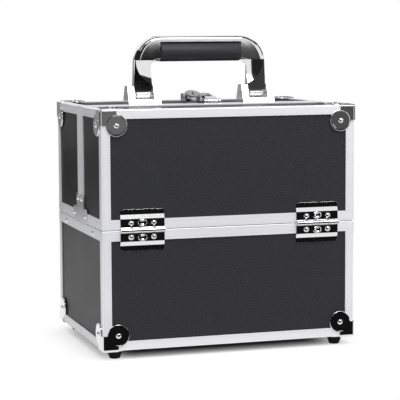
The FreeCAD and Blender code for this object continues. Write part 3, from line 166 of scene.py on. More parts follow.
class CasePaint(bpy.types.PropertyGroup):
    """Colours of the finishes."""

    board: FloatVectorProperty(
        name="Board", description="Embossed cover of the boards", subtype="COLOR", size=3,
        default=(0.026, 0.026, 0.028), min=0, max=1)
    trim: FloatVectorProperty(
        name="Trim", description="Anodised trims", subtype="COLOR", size=3,
        default=(0.80, 0.80, 0.82), min=0, max=1)
    chrome: FloatVectorProperty(
        name="Chrome", description="Plated fittings", subtype="COLOR", size=3,
        default=(0.80, 0.80, 0.81), min=0, max=1)
    steel: FloatVectorProperty(
        name="Steel", description="Tray arms and screws", subtype="COLOR", size=3,
        default=(0.56, 0.57, 0.58), min=0, max=1)
    lining: FloatVectorProperty(
        name="Lining", description="Napped lining", subtype="COLOR", size=3,
        default=(0.026, 0.026, 0.028), min=0, max=1)
    tray: FloatVectorProperty(
        name="Tray", description="Moulded trays", subtype="COLOR", size=3,
        default=(0.035, 0.035, 0.037), min=0, max=1)
    grip: FloatVectorProperty(
        name="Grip", description="Handle grip", subtype="COLOR", size=3,
        default=(0.034, 0.034, 0.037), min=0, max=1)
    rubber: FloatVectorProperty(
        name="Rubber", description="Feet", subtype="COLOR", size=3,
        default=(0.006, 0.006, 0.006), min=0, max=1)
    floor: FloatVectorProperty(
        name="Floor", description="Studio floor", subtype="COLOR", size=3,
        default=(0.86, 0.86, 0.86), min=0, max=1)


class CaseView(bpy.types.PropertyGroup):
    """Camera and light."""

    yaw: FloatProperty(
        name="Yaw", description="Camera turned to its right", subtype="ANGLE", default=math.radians(17.444))
    pitch: FloatProperty(
        name="Pitch", description="Camera tipped down", subtype="ANGLE", default=math.radians(6.102))
    roll: FloatProperty(
        name="Roll", description="Camera tipped sideways", subtype="ANGLE", default=math.radians(0.307))
    lens: FloatProperty(name="Lens", description="Focal length, mm", default=145.65, min=10)
    sensor: FloatProperty(
        name="Sensor", description="Width of the picture in the camera, mm", default=36, min=1)
    near: FloatProperty(
        name="Near limit", description="Nearest distance that the camera sees, m", default=0.01, min=0.001)
    position: FloatVectorProperty(
        name="Position", description="Place of the camera", subtype="TRANSLATION", unit="LENGTH", size=3,
        default=(-0.50047, -1.58582, 0.32032))
    sky: FloatProperty(
        name="Room light", description="Strength of the light from all round", default=0.18, min=0)
    key: FloatProperty(
        name="Key light", description="Strength of the main lamp", default=3.75, min=0)


# Shader maths written as Python sums

class Wire:
    """A shader socket that takes part in arithmetic."""

    def __init__(self, finish, socket):
        self.finish = finish
        self.socket = socket

    def math(self, operation, *others):
        """The result of a Math node on this value and others."""
        made = self.finish.node("ShaderNodeMath", {"operation": operation}, self, *others)
        return Wire(self.finish, made.outputs[0])

    def __add__(self, other):
        return self.math("ADD", other)

    def __sub__(self, other):
        return self.math("SUBTRACT", other)

    def __mul__(self, other):
        return self.math("MULTIPLY", other)

    def __gt__(self, other):
        return self.math("GREATER_THAN", other)

    def __abs__(self):
        return self.math("ABSOLUTE")

    def __rsub__(self, other):
        return self * -1 + other

    __radd__ = __add__
    __rmul__ = __mul__

    def least(self, other):
        return self.math("MINIMUM", other)

    def cosine(self):
        return self.math("COSINE")

    def ramp(self, low, high):
        """0 below low, 1 above high, smooth between."""
        made = self.finish.node("ShaderNodeMapRange", {"interpolation_type": "SMOOTHSTEP"}, self, low, high)
        return Wire(self.finish, made.outputs[0])

    def line(self, at, width):
        """1 on a thin line where the value is near a level, 0 elsewhere."""
        return 1 - abs(self - at).ramp(width * 0.4, width)


class Finish:
    """The nodes of one procedural material, or of the world."""

    def __init__(self, name, store="materials"):
        self.owner = getattr(bpy.data, store).new(name)
        self.owner.use_nodes = True
        self.tree = self.owner.node_tree
        self.shader = self.tree.nodes.get("Principled BSDF")
        self.places = None

    def feed(self, socket, value):
        """Link a socket to another one or set its value."""
        if isinstance(value, Wire):
            self.tree.links.new(value.socket, socket)
        elif isinstance(value, bpy.types.NodeSocket):
            self.tree.links.new(value, socket)
        else:
            socket.default_value = value

    def node(self, kind, settings=None, *values, **named):
        """A new node, with its inputs fed in order or by name."""
        made = self.tree.nodes.new(kind)
        for key, value in (settings or {}).items():
            setattr(made, key, value)
        for socket, value in zip(made.inputs, values):
            self.feed(socket, value)
        for key, value in named.items():
            self.feed(made.inputs[key.replace("_", " ")], value)
        return made

    def axes(self, output, scale):
        """The three parts of a vector, scaled."""
        split = self.node("ShaderNodeSeparateXYZ", None, output)
        return [Wire(self, socket) * scale for socket in split.outputs]

    def spots(self):
        """Object coordinates in millimetres and the object's own normal."""
        if self.places is None:
            made = self.node("ShaderNodeTexCoord")
            self.places = (self.axes(made.outputs["Object"], 1 / MM), self.axes(made.outputs["Normal"], 1),
                           made.outputs["Object"])
        return self.places

    def noise(self, size, detail, stretch=(1, 1, 1)):
        """Soft noise whose blobs are about size millimetres across, stretched along the axes."""
        scaled = self.node("ShaderNodeMapping", None, self.spots()[2],
                           Scale=[1 / (MM * size * along) for along in stretch])
        made = self.node("ShaderNodeTexNoise", None, Vector=scaled.outputs[0], Scale=1.0, Detail=detail)
        return Wire(self, made.outputs["Fac"])

    def blend(self, low, high, factor):
        """A colour between two colours."""
        made = self.node("ShaderNodeMix", {"data_type": "RGBA"})
        self.feed(made.inputs[0], factor)
        self.feed(made.inputs[6], (*low, 1))
        self.feed(made.inputs[7], (*high, 1))
        return made.outputs[2]

    def set(self, **values):
        """Feed inputs of the main shader by name."""
        for key, value in values.items():
            self.feed(self.shader.inputs[key.replace("_", " ")], value)

    def emboss(self, height, depth, strength):
        """Bump from a height of 0 to 1 and a depth in millimetres."""
        made = self.node("ShaderNodeBump", None, Strength=strength, Distance=depth * MM, Height=height)
        self.set(Normal=made.outputs[0])


def shade(colour, factor):
    """A colour made darker or lighter."""
    return [part * factor for part in colour]


def edge_distance(finish):
    """Distance in millimetres from the nearest edge of the case, which runs along every trim."""
    (x, y, z), (nx, _, nz), _ = finish.spots()
    side = abs(nx) > FACING
    level = abs(nz) > FACING
    far = HALF_WIDTH * 4
    from_end = HALF_WIDTH - abs(x) + side * far
    from_face = HALF_DEPTH - abs(y) + (1 - side - level) * far
    from_floor = abs(z - BOX_LOW) + level * far
    from_joint = abs(z - JOINT) + level * far
    from_top = abs(z - BOX_TOP) + level * far
    seam = abs(y - SEAM) + (1 - side - level) * far + (1 - (z > JOINT)) * far
    nearest = from_end
    for other in (from_face, from_floor, from_joint, from_top, seam):
        nearest = nearest.least(other)
    return nearest


def board_finish(sizes, paint):
    """Embossed cover: fine raised diamonds, a little sheen, faint handling marks."""
    made = Finish("covered_board")
    (x, y, z), (nx, _, nz), _ = made.spots()
    side = abs(nx) > FACING
    level = abs(nz) > FACING
    across = x * (1 - side) + y * side
    up = z * (1 - level) + y * level
    turn = 2 * math.pi / sizes.emboss_pitch
    diamond = (across * turn).cosine() * (up * turn).cosine()
    raised = diamond.ramp(-0.35, 0.75)
    patch = made.noise(size=60, detail=3)
    grain = made.noise(size=0.35, detail=2)
    # The diamond tops are painted lighter as painted highlight and the hollows between them darker as
    # painted shade; the grain is random tone.
    lit = raised * 0.85 + grain * 0.15
    made.set(Base_Color=made.blend(shade(paint.board, 0.08), shade(paint.board, 2.6), lit),
             Roughness=patch * 0.10 + raised * 0.06 + 0.34, Specular_IOR_Level=0.1,
             Coat_Weight=(1 - level) * 0.08, Coat_Roughness=0.12)
    made.emboss(raised * 0.9 + grain * 0.1, depth=sizes.emboss_depth, strength=0.7)
    return made.owner


def trim_finish(paint):
    """Satin anodised extrusion: die lines along it, two fine grooves with painted shade in them, brighter
    edges.
    """
    made = Finish("satin_trim")
    inset = edge_distance(made)
    lines_per_mm = 3
    streaks = made.node("ShaderNodeTexNoise", {"noise_dimensions": "1D"},
                        W=inset * lines_per_mm, Scale=1.0, Detail=4.0)
    die = Wire(made, streaks.outputs["Fac"])
    # The grooves are bumped in and also painted darker, which is painted shade in them.
    groove_and_shade = inset.line(at=1.9, width=0.32) + inset.line(at=7.4, width=0.32)
    # Lighter and less rough within about a millimetre of the edges of the case.
    edge_band = 1 - inset.ramp(0.3, 1.1)
    cloud = made.noise(size=45, detail=3)
    tone = die * 0.35 + cloud * 0.25 + 0.4 + edge_band * 0.3 - groove_and_shade * 0.5
    made.set(Base_Color=made.blend(shade(paint.trim, 0.86), shade(paint.trim, 1.06), tone),
             Roughness=die * 0.10 + cloud * 0.08 + 0.33 - edge_band * 0.08, Metallic=0.35)
    made.emboss(die * 0.25 - groove_and_shade * 0.6 + 0.6, depth=0.06, strength=0.6)
    return made.owner


def chrome_finish(paint, name, rough, tone=1.0):
    """Polished plating with faint wiping marks and a slightly wavy skin."""
    made = Finish(name)
    smear = made.noise(size=14, detail=4, stretch=(1, 1, 2.5))
    wave = made.noise(size=9, detail=1)
    dull = shade(paint.chrome, 0.93 * tone)
    bright = shade(paint.chrome, 1.04 * tone)
    made.set(Base_Color=made.blend(dull, bright, smear), Roughness=smear * 0.05 + rough, Metallic=1.0)
    made.emboss(wave, depth=0.03, strength=0.2)
    return made.owner


def steel_finish(paint):
    """Zinc plated flat steel with drawn lines."""
    made = Finish("plated_steel")
    drawn = made.noise(size=0.5, detail=3, stretch=(1, 12, 12))
    cloud = made.noise(size=20, detail=3)
    mottle = drawn * 0.6 + cloud * 0.4
    made.set(Base_Color=made.blend(shade(paint.steel, 0.8), shade(paint.steel, 1.15), mottle),
             Roughness=drawn * 0.16 + 0.26, Metallic=0.9)
    made.emboss(drawn, depth=0.03, strength=0.5)
    return made.owner


def lining_finish(paint):
    """Short nap with soft shading where it has been brushed."""
    made = Finish("napped_lining")
    nap = made.noise(size=0.25, detail=3)
    brushed = made.noise(size=26, detail=3, stretch=(1, 1, 2))
    pile = nap * 0.6 + brushed * 0.4
    made.set(Base_Color=made.blend(shade(paint.lining, 0.6), shade(paint.lining, 1.8), pile),
             Roughness=0.9 - nap * 0.1, Sheen_Weight=0.35, Sheen_Roughness=0.5)
    made.emboss(nap, depth=0.25, strength=0.8)
    return made.owner


def moulded_finish(name, colour, rough, grain_size, stretch=(1, 1, 1), gleam=0.5):
    """Moulded plastic or rubber with a fine grain and slight wear in the sheen."""
    made = Finish(name)
    grain = made.noise(grain_size, detail=3, stretch=stretch)
    worn = made.noise(size=22, detail=3, stretch=stretch)
    made.set(Base_Color=made.blend(shade(colour, 0.75), shade(colour, 1.35), grain * 0.5 + worn * 0.5),
             Roughness=worn * 0.12 + grain * 0.06 + rough, Specular_IOR_Level=gleam)
    made.emboss(grain, depth=0.06, strength=0.5)
    return made.owner


# Modelling by operators

def settle():
    """Leave edit mode and select nothing."""
    if bpy.context.object and bpy.context.object.mode != "OBJECT":
        bpy.ops.object.mode_set(mode="OBJECT")
    bpy.ops.object.select_all(action="DESELECT")


def take(piece):
    """Select one piece and make it active."""
    settle()
    piece.select_set(True)
    bpy.context.view_layer.objects.active = piece
    return piece


def fresh(name):
    """The primitive that was just added, named and with its place in its mesh."""
    piece = bpy.context.object
    piece.name = name
    piece.data.name = name
    bpy.ops.object.transform_apply(location=True, rotation=True, scale=True)
    return piece


def modify(piece, kind, **settings):
    """Add a modifier with its settings and apply it."""
    take(piece)
    bpy.ops.object.modifier_add(type=kind)
    modifier = piece.modifiers[-1]
    for key, value in settings.items():
        setattr(modifier, key, value)
    bpy.ops.object.modifier_apply(modifier=modifier.name)
    return piece


def smooth(piece, degrees):
    """Shade a piece smooth where its faces meet at less than an angle."""
    take(piece)
    bpy.ops.object.shade_smooth_by_angle(angle=math.radians(degrees))
    return piece


def evened(piece, degrees):
    """Shade a piece smooth and keep its flats flat."""
    smooth(piece, degrees)
    return modify(piece, "WEIGHTED_NORMAL", weight=FLAT_WEIGHT, keep_sharp=True)


def bevelled(piece, width, segments, degrees):
    """Round the edges that turn by more than an angle, to a width in millimetres."""
    return modify(piece, "BEVEL", width=width * MM, segments=segments, limit_method="ANGLE",
                  angle_limit=math.radians(degrees), use_clamp_overlap=True)


def sized(low, high):
    """In edit mode, stretch a mesh of unit size to fill a box in millimetres."""
    bpy.ops.mesh.select_all(action="SELECT")
    bpy.ops.transform.resize(value=(high - low) * MM)
    bpy.ops.transform.translate(value=(high + low) / 2 * MM)


def pick_faces(piece, wanted):
    """In edit mode, select only the faces that pass a test."""
    bpy.ops.mesh.select_mode(type="FACE")
    bpy.ops.mesh.select_all(action="DESELECT")
    bpy.ops.object.mode_set(mode="OBJECT")
    for face in piece.data.polygons:
        face.select = wanted(face)
    bpy.ops.object.mode_set(mode="EDIT")


def pick_edges(piece, wanted):
    """In edit mode, select only the edges that pass a test."""
    take(piece)
    bpy.ops.object.mode_set(mode="EDIT")
    bpy.ops.mesh.select_mode(type="EDGE")
    bpy.ops.mesh.select_all(action="DESELECT")
    bpy.ops.object.mode_set(mode="OBJECT")
    for edge in piece.data.edges:
        edge.select = wanted(edge)
    bpy.ops.object.mode_set(mode="EDIT")


def merged_copy(node, name):
    """A new piece that starts from a CAD node, with its triangles merged into clean faces."""
    settle()
    piece = bpy.data.objects.new(name, frame["nodes"][node].data.copy())
    piece.data.name = name
    piece.data.materials.clear()
    bpy.context.scene.collection.objects.link(piece)
    take(piece)
    bpy.ops.mesh.customdata_custom_splitnormals_clear()
    bpy.ops.object.mode_set(mode="EDIT")
    bpy.ops.mesh.select_all(action="SELECT")
    bpy.ops.mesh.remove_doubles(threshold=WELD * MM)
    bpy.ops.mesh.dissolve_limited(angle_limit=math.radians(FLAT_TURN))
    bpy.ops.object.mode_set(mode="OBJECT")
    return piece


def softened(node, name, arris, crease=30):
    """A CAD node with its sharp edges broken, shaded smooth up to the angle of its creases."""
    return evened(bevelled(merged_copy(node, name), arris, segments=2, degrees=35), crease)


def twin(piece, name, matrix):
    """A copy with its own mesh, moved by a matrix."""
    made = piece.copy()
    made.data = piece.data.copy()
    made.name = name
    made.data.name = name
    made.data.transform(matrix)
    bpy.context.scene.collection.objects.link(made)
    return made


def gather(main, others):
    """Join pieces into the first one."""
    take(main)
    for other in others:
        other.select_set(True)
    bpy.ops.object.join()
    return main


def discard(piece):
    """Delete a piece and its mesh."""
    mesh = piece.data
    bpy.data.objects.remove(piece)
    bpy.data.meshes.remove(mesh)


def fit(piece, body, material, node):
    """Dress a piece and hang it on its body in place of a CAD node."""
    piece.data.materials.clear()
    piece.data.materials.append(material)
    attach(piece, body)
    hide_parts(node)


def dress(node, material):
    """Give a CAD node a finish."""
    data = frame["nodes"][node].data
    data.materials.clear()
    data.materials.append(material)


def facing(axis, at):
    """Turn +Z to a direction and move to a place in millimetres."""
    turn = Vector((0, 0, 1)).rotation_difference(Vector(axis)).to_matrix().to_4x4()
    return Matrix.Translation(Vector(at) * MM) @ turn


def stepped_disc(name, radius, sides, rise, steps, oval=1.0):
    """A round pressing: a thin disc whose top is stepped ring by ring, each with its inset and its lift."""
    settle()
    bpy.ops.mesh.primitive_cylinder_add(vertices=sides, radius=radius * MM, depth=2 * rise * MM)
    piece = fresh(name)
    bpy.ops.object.mode_set(mode="EDIT")
    pick_faces(piece, lambda face: face.normal.z > END_FACING)
    for inward, lift in steps:
        bpy.ops.mesh.inset(thickness=inward * MM, depth=lift * MM)
    bpy.ops.mesh.select_all(action="SELECT")
    bpy.ops.transform.resize(value=(1, oval, 1))
    bpy.ops.object.mode_set(mode="OBJECT")
    return evened(piece, degrees=50)


# Operators, one for each group of like pieces

class TRAINCASE_OT_boards(bpy.types.Operator):
    """Finish the covered boards"""

    bl_idname = "traincase.boards"
    bl_label = "Covered boards"

    def execute(self, context):
        material = board_finish(context.scene.case_sizes, context.scene.case_paint)
        for name in frame["nodes"]:
            if name.endswith("_panel"):
                dress(name, material)
        return {"FINISHED"}


class TRAINCASE_OT_trims(bpy.types.Operator):
    """Break the edges of the extruded trims and finish them"""

    bl_idname = "traincase.trims"
    bl_label = "Extruded trims"

    def execute(self, context):
        sizes = context.scene.case_sizes
        material = trim_finish(context.scene.case_paint)
        for body in BOXES:
            for node in list(frame["record"]["behaviour"]["bodies"][body]):
                if node.endswith(("_trims", "_posts")):
                    piece = softened(node, f"{node}_extruded", sizes.trim_arris)
                    fit(piece, body, material, node)
        return {"FINISHED"}


class TRAINCASE_OT_caps(bpy.types.Operator):
    """Round the rims of the corner caps and press a ring round each rivet"""

    bl_idname = "traincase.caps"
    bl_label = "Corner caps"

    def execute(self, context):
        sizes = context.scene.case_sizes
        material = chrome_finish(context.scene.case_paint, "cap_chrome", rough=0.02)
        steps = ((0.1, 0.0), (0.5, 0.05), (0.1, 0.0), (0.5, -0.05), (0.1, 0.0))
        rosette = stepped_disc("rosette", sizes.rosette_radius, sizes.rosette_sides, sizes.rosette_rise,
                               steps)
        for body, sy_wanted, sz_wanted in (("base", 0, -1), ("front_lid", -1, 1), ("rear_lid", 1, 1)):
            node = f"{body}_corner_caps"
            lobes = []
            for sx, sy, sz in CORNERS:
                if sz == sz_wanted and sy_wanted in (0, sy):
                    lobes += self.lobes((sx, sy, sz), sizes)
            caps = self.pressed(node, sizes, lobes)
            rings = [twin(rosette, "ring", facing(way, at)) for way, at in lobes]
            fit(gather(caps, rings), body, material, node)
        discard(rosette)
        return {"FINISHED"}

    def lobes(self, signs, sizes):
        """The way each round lobe of a cap faces, and the middle of its outer face."""
        level = BOX_TOP if signs[2] > 0 else BOX_LOW
        corner = Vector((signs[0] * HALF_WIDTH, signs[1] * HALF_DEPTH, level))
        found = []
        for axis in range(3 if signs[2] > 0 else 2):
            at = corner - Vector(signs) * sizes.lobe_inset
            at[axis] = corner[axis] + signs[axis] * CAP_FACE
            way = Vector((0, 0, 0))
            way[axis] = signs[axis]
            found.append((way, at))
        return found

    def pressed(self, node, sizes, lobes):
        """The caps of a node with the rims of their round lobes softened."""
        piece = merged_copy(node, f"{node}_pressed")

        def on_rim(index):
            """Whether a point lies on the outer rim of a lobe."""
            point = piece.data.vertices[index].co / MM
            for way, at in lobes:
                arm = point - at
                if abs(arm.dot(way)) < NEAR and abs(arm.length - sizes.lobe_radius) < NEAR:
                    return True
            return False

        pick_edges(piece, lambda edge: all(on_rim(index) for index in edge.vertices))
        bpy.ops.mesh.bevel(offset=sizes.cap_rim * MM, segments=3, affect="EDGES", clamp_overlap=True)
        bpy.ops.object.mode_set(mode="OBJECT")
        return evened(piece, degrees=40)


class TRAINCASE_OT_hinges(bpy.types.Operator):
    """Form the hinge leaves with a pressed eyelet between their rivets"""

    bl_idname = "traincase.hinges"
    bl_label = "Hinges"

    def execute(self, context):
        sizes = context.scene.case_sizes
        material = chrome_finish(context.scene.case_paint, "hinge_chrome", rough=0.03)
        steps = ((0.5, 0.35), (0.8, 0.2), (0.7, -0.15), (0.9, -0.45), (0.8, -0.05))
        eyelet = stepped_disc("eyelet", sizes.eyelet_radius, sides=40, rise=0.15, steps=steps,
                              oval=sizes.eyelet_oval)
        leaf_face = HALF_DEPTH + sizes.leaf_proud
        for body, lid, sides in (("base", -1, SIDES), ("front_lid", 1, (-1,)), ("rear_lid", 1, (1,))):
            node = f"{body}_hinge_leaves"
            leaves = softened(node, f"{node}_formed", sizes.sheet_arris, crease=14)
            eyelets = []
            for side in sides:
                for sx in SIDES:
                    at = (sx * sizes.hinge_middle, side * leaf_face, JOINT + lid * sizes.eyelet_rise)
                    eyelets.append(twin(eyelet, "pressing", facing((0, side, 0), at)))
            fit(gather(leaves, eyelets), body, material, node)
        discard(eyelet)
        dress("hinge_pins", material)
        return {"FINISHED"}


class TRAINCASE_OT_plates(bpy.types.Operator):
    """Break the edges of the flat plates and finish the rivets"""

    bl_idname = "traincase.plates"
    bl_label = "Plates and rivets"

    def execute(self, context):
        sizes = context.scene.case_sizes
        paint = context.scene.case_paint
        material = chrome_finish(paint, "plate_chrome", rough=0.34)
        thin_arris = sizes.sheet_arris * 0.6
        for half in HALVES:
            node = f"{half}_lid_corner_plates"
            fit(softened(node, f"{node}_cut", thin_arris), f"{half}_lid", material, node)
        rivet = chrome_finish(paint, "rivet_chrome", rough=0.06)
        for body in BOXES:
            dress(f"{body}_rivets", rivet)
        return {"FINISHED"}


class TRAINCASE_OT_handle(bpy.types.Operator):
    """Hollow the handle legs, round the grip and finish the brackets"""

    bl_idname = "traincase.handle"
    bl_label = "Handle"

    def execute(self, context):
        sizes = context.scene.case_sizes
        paint = context.scene.case_paint
        chrome = chrome_finish(paint, "handle_chrome", rough=0.04)
        handle = merged_copy("handle_frame", "handle_frame_plated")
        deep = math.sqrt(sizes.scoop_radius ** 2 - sizes.scoop_reach ** 2)
        level = HANDLE_HIGH.z - sizes.scoop_drop
        face = HANDLE_LOW.y + sizes.leg_setback
        middles = [Vector((sx * sizes.scoop_middle, face - deep, level)) for sx in SIDES]
        tools = [self.half_ball(sizes, middle) for middle in middles]
        tools.append(self.slab(face, level))
        for tool in tools:
            modify(handle, "BOOLEAN", operation="DIFFERENCE", object=tool, solver="EXACT")
            discard(tool)
        evened(bevelled(handle, sizes.handle_arris, segments=2, degrees=40), degrees=17)
        fit(handle, "handle", chrome, "handle_frame")
        skin = moulded_finish("grip_skin", paint.grip, rough=0.3, grain_size=0.8, stretch=(14, 1, 1),
                              gleam=0.16)
        fit(self.grip(sizes), "handle", skin, "handle_grip")
        bracket = chrome_finish(paint, "bracket_chrome", rough=0.10)
        piece = softened("handle_brackets", "handle_brackets_cast", sizes.cast_arris)
        fit(piece, "rear_lid", bracket, "handle_brackets")
        dress("handle_pins", chrome)
        return {"FINISHED"}

    def slab(self, face, level):
        """A block in front of both legs, from below their feet up to a level."""
        low = Vector((-HALF_WIDTH, -HALF_DEPTH, BOX_TOP))
        high = Vector((HALF_WIDTH, face, level))
        settle()
        bpy.ops.mesh.primitive_cube_add(size=1)
        slab = fresh("setback")
        bpy.ops.object.mode_set(mode="EDIT")
        sized(low, high)
        bpy.ops.object.mode_set(mode="OBJECT")
        return slab

    def half_ball(self, sizes, middle):
        """The lower half of a ball, which cuts a hollow with a straight top edge."""
        settle()
        middle = middle * MM
        bpy.ops.mesh.primitive_uv_sphere_add(segments=128, ring_count=64, radius=sizes.scoop_radius * MM,
                                             location=middle)
        ball = fresh("scoop")
        bpy.ops.object.mode_set(mode="EDIT")
        bpy.ops.mesh.select_all(action="SELECT")
        bpy.ops.mesh.bisect(plane_co=middle, plane_no=(0, 0, 1), use_fill=True, clear_outer=True)
        bpy.ops.object.mode_set(mode="OBJECT")
        return ball

    def grip(self, sizes):
        """An oval grip with dished ends and rounded rims, as long as the grip in the frame."""
        settle()
        lying = (0, math.radians(90), 0)
        bpy.ops.mesh.primitive_cylinder_add(vertices=72, radius=0.5, depth=1, rotation=lying)
        grip = fresh("handle_grip_moulded")
        bpy.ops.object.mode_set(mode="EDIT")
        sized(GRIP_LOW, GRIP_HIGH)
        pick_faces(grip, lambda face: abs(face.normal.x) > END_FACING)
        bpy.ops.mesh.inset(thickness=sizes.grip_land * MM, depth=-sizes.grip_dish * MM, use_individual=True)
        bpy.ops.object.mode_set(mode="OBJECT")
        return smooth(bevelled(grip, sizes.grip_rim, segments=3, degrees=50), degrees=40)


class TRAINCASE_OT_lock(bpy.types.Operator):
    """Break the edges of the lock, its barrel, its button and its hasp"""

    bl_idname = "traincase.lock"
    bl_label = "Lock"

    def execute(self, context):
        paint = context.scene.case_paint
        # The lock body's plating is darkened to 0.42 of the chrome colour as painted shade.
        shaded = chrome_finish(paint, "lock_chrome_painted_shade", rough=0.07, tone=0.42)
        chrome = chrome_finish(paint, "hasp_chrome", rough=0.07, tone=0.85)
        satin = chrome_finish(paint, "barrel_satin", rough=0.30, tone=0.5)
        dark = chrome_finish(paint, "button_dark", rough=0.2, tone=0.25)
        for node, body, arris, finish in (
                ("lock_body", "rear_lid", 0.5, shaded),
                ("lock_barrel", "lock_barrel", 0.4, satin),
                ("lock_button", "lock_button", 0.5, dark),
                ("hasp_base", "front_lid", 0.4, chrome),
                ("lock_hasp", "lock_hasp", 0.4, chrome)):
            fit(softened(node, f"{node}_plated", arris, crease=20), body, finish, node)
        return {"FINISHED"}


class TRAINCASE_OT_trays(bpy.types.Operator):
    """Soften the moulded trays and finish the arms that carry them"""

    bl_idname = "traincase.trays"
    bl_label = "Trays and arms"

    def execute(self, context):
        sizes = context.scene.case_sizes
        paint = context.scene.case_paint
        plastic = moulded_finish("tray_plastic", paint.tray, rough=0.42, grain_size=0.5)
        steel = steel_finish(paint)
        for half in HALVES:
            for level in ("lower", "upper"):
                node = f"{half}_{level}_tray"
                tray = softened(node, f"{node}_moulded", sizes.moulded_arris)
                fit(tray, node, plastic, node)
            self.plated(f"{half}_arms", f"{half}_arms", sizes, steel)
            self.plated(f"{half}_lid_pivot_bars", f"{half}_lid", sizes, steel)
        self.plated("base_pivot_strips", "base", sizes, steel)
        for node in ("rear_lid_screws", "foot_screws"):
            dress(node, steel)
        return {"FINISHED"}

    def plated(self, node, body, sizes, steel):
        """Break the edges of a steel piece and fit it."""
        fit(softened(node, f"{node}_plated", sizes.sheet_arris), body, steel, node)


class TRAINCASE_OT_lining(bpy.types.Operator):
    """Part the lining into its sheets, one on each board, and nap them"""

    bl_idname = "traincase.lining"
    bl_label = "Lining"

    def execute(self, context):
        sizes = context.scene.case_sizes
        nap = lining_finish(context.scene.case_paint)
        for body in BOXES:
            node = f"{body}_lining"
            for cloth in self.parted(softened(node, f"{node}_sheet", sizes.cloth_arris)):
                fit(cloth, body, nap, node)
                self.board(cloth, body)
        return {"FINISHED"}

    def parted(self, whole):
        """The separate sheets of a lining."""
        take(whole)
        bpy.ops.object.mode_set(mode="EDIT")
        bpy.ops.mesh.select_all(action="SELECT")
        bpy.ops.mesh.separate(type="LOOSE")
        bpy.ops.object.mode_set(mode="OBJECT")
        return list(bpy.context.selected_objects)

    def board(self, cloth, body):
        """The board that a sheet is stuck to, found from its thin way and the side of the case it is on."""
        thin = min(range(3), key=lambda axis: cloth.dimensions[axis])
        middle = sum((Vector(corner) for corner in cloth.bound_box), Vector()) / len(cloth.bound_box)
        beyond = middle[thin] > (0, 0, JOINT * MM)[thin]
        side = (("left", "right"), ("front", "rear"), ("bottom", "top"))[thin][beyond]
        return f"{body}_{side}_panel"


class TRAINCASE_OT_feet(bpy.types.Operator):
    """Round the rubber feet"""

    bl_idname = "traincase.feet"
    bl_label = "Feet"

    def execute(self, context):
        sizes = context.scene.case_sizes
        paint = context.scene.case_paint
        rubber = moulded_finish("foot_rubber", paint.rubber, rough=0.55, grain_size=0.6, gleam=0.1)
        fit(softened("feet", "feet_moulded", sizes.cast_arris), "base", rubber, "feet")
        return {"FINISHED"}


# The stage, in millimetres but for the floor, which is in metres

FRONT, RIGHT, REAR, LEFT = range(4)
# Each card: name, tone, sides of the case that it faces, distance from that side, width, lowest and highest
# edge, and shift to the right of someone who looks at that side
CARDS = (
    ("toe", 0.008, (FRONT,), 40, 340, 0.5, 30, 0),
    ("near", 0.008, (FRONT,), 150, 440, 1, 185, 0),
    ("behind", 0.008, (REAR,), 150, 240, 1, 185, 0),
    ("beside", 0.02, (REAR,), 150, 100, 97, 182, 170),
    ("over", 0.28, (REAR,), 150, 100, 182, 260, 170),
    ("low", 0.16, (FRONT,), 620, 700, 20, 222, -150),
    ("low_right", 0.09, (FRONT,), 620, 300, 20, 222, 350),
    ("end", 0.01, (RIGHT, LEFT), 620, 1000, 20, 222, 0),
    ("high", 0.001, (FRONT,), 620, 700, 222, 297, -130),
    ("next", 0.05, (FRONT,), 620, 215, 222, 297, 327.5),
    ("dim", 0.02, (FRONT,), 620, 640, 297, 1100, -380),
    ("lofty", 0.03, (FRONT,), 620, 880, 800, 1400, 860),
    ("right", 0.02, (RIGHT,), 620, 800, 400, 800, 420),
    ("left", 0.02, (LEFT,), 620, 1600, 400, 800, 0),
    ("rear", 0.03, (REAR,), 620, 800, 20, 420, -400),
    ("flank", 0.03, (REAR,), 900, 1000, 0.5, 140, 750),
    ("upper_flank", 0.3, (REAR,), 900, 1000, 140, 420, 750),
)
# Two cards above the case, one at each side
HOOD_TONE = 0.05
HOOD_PLACE = Vector((475, -150, 800))
HOOD_WIDTH = 450
HOOD_LENGTH = 1100
# Rays that don't see the cards
HIDDEN_RAYS = ("camera", "diffuse", "transmission", "volume_scatter", "shadow")
WHITE = (1, 1, 1, 1)
FLOOR_SPAN = 24
FLOOR_CUTS = 8
# The floor fades from its own shade to white from this far inside the posts, over this reach
SHADE_INSET = 40
SHADE_REACH = 75
# The way the light of the lamp goes, and how wide the lamp is in degrees
KEY_WAY = (-0.06, 0.56, -0.82)
KEY_SPREAD = 55


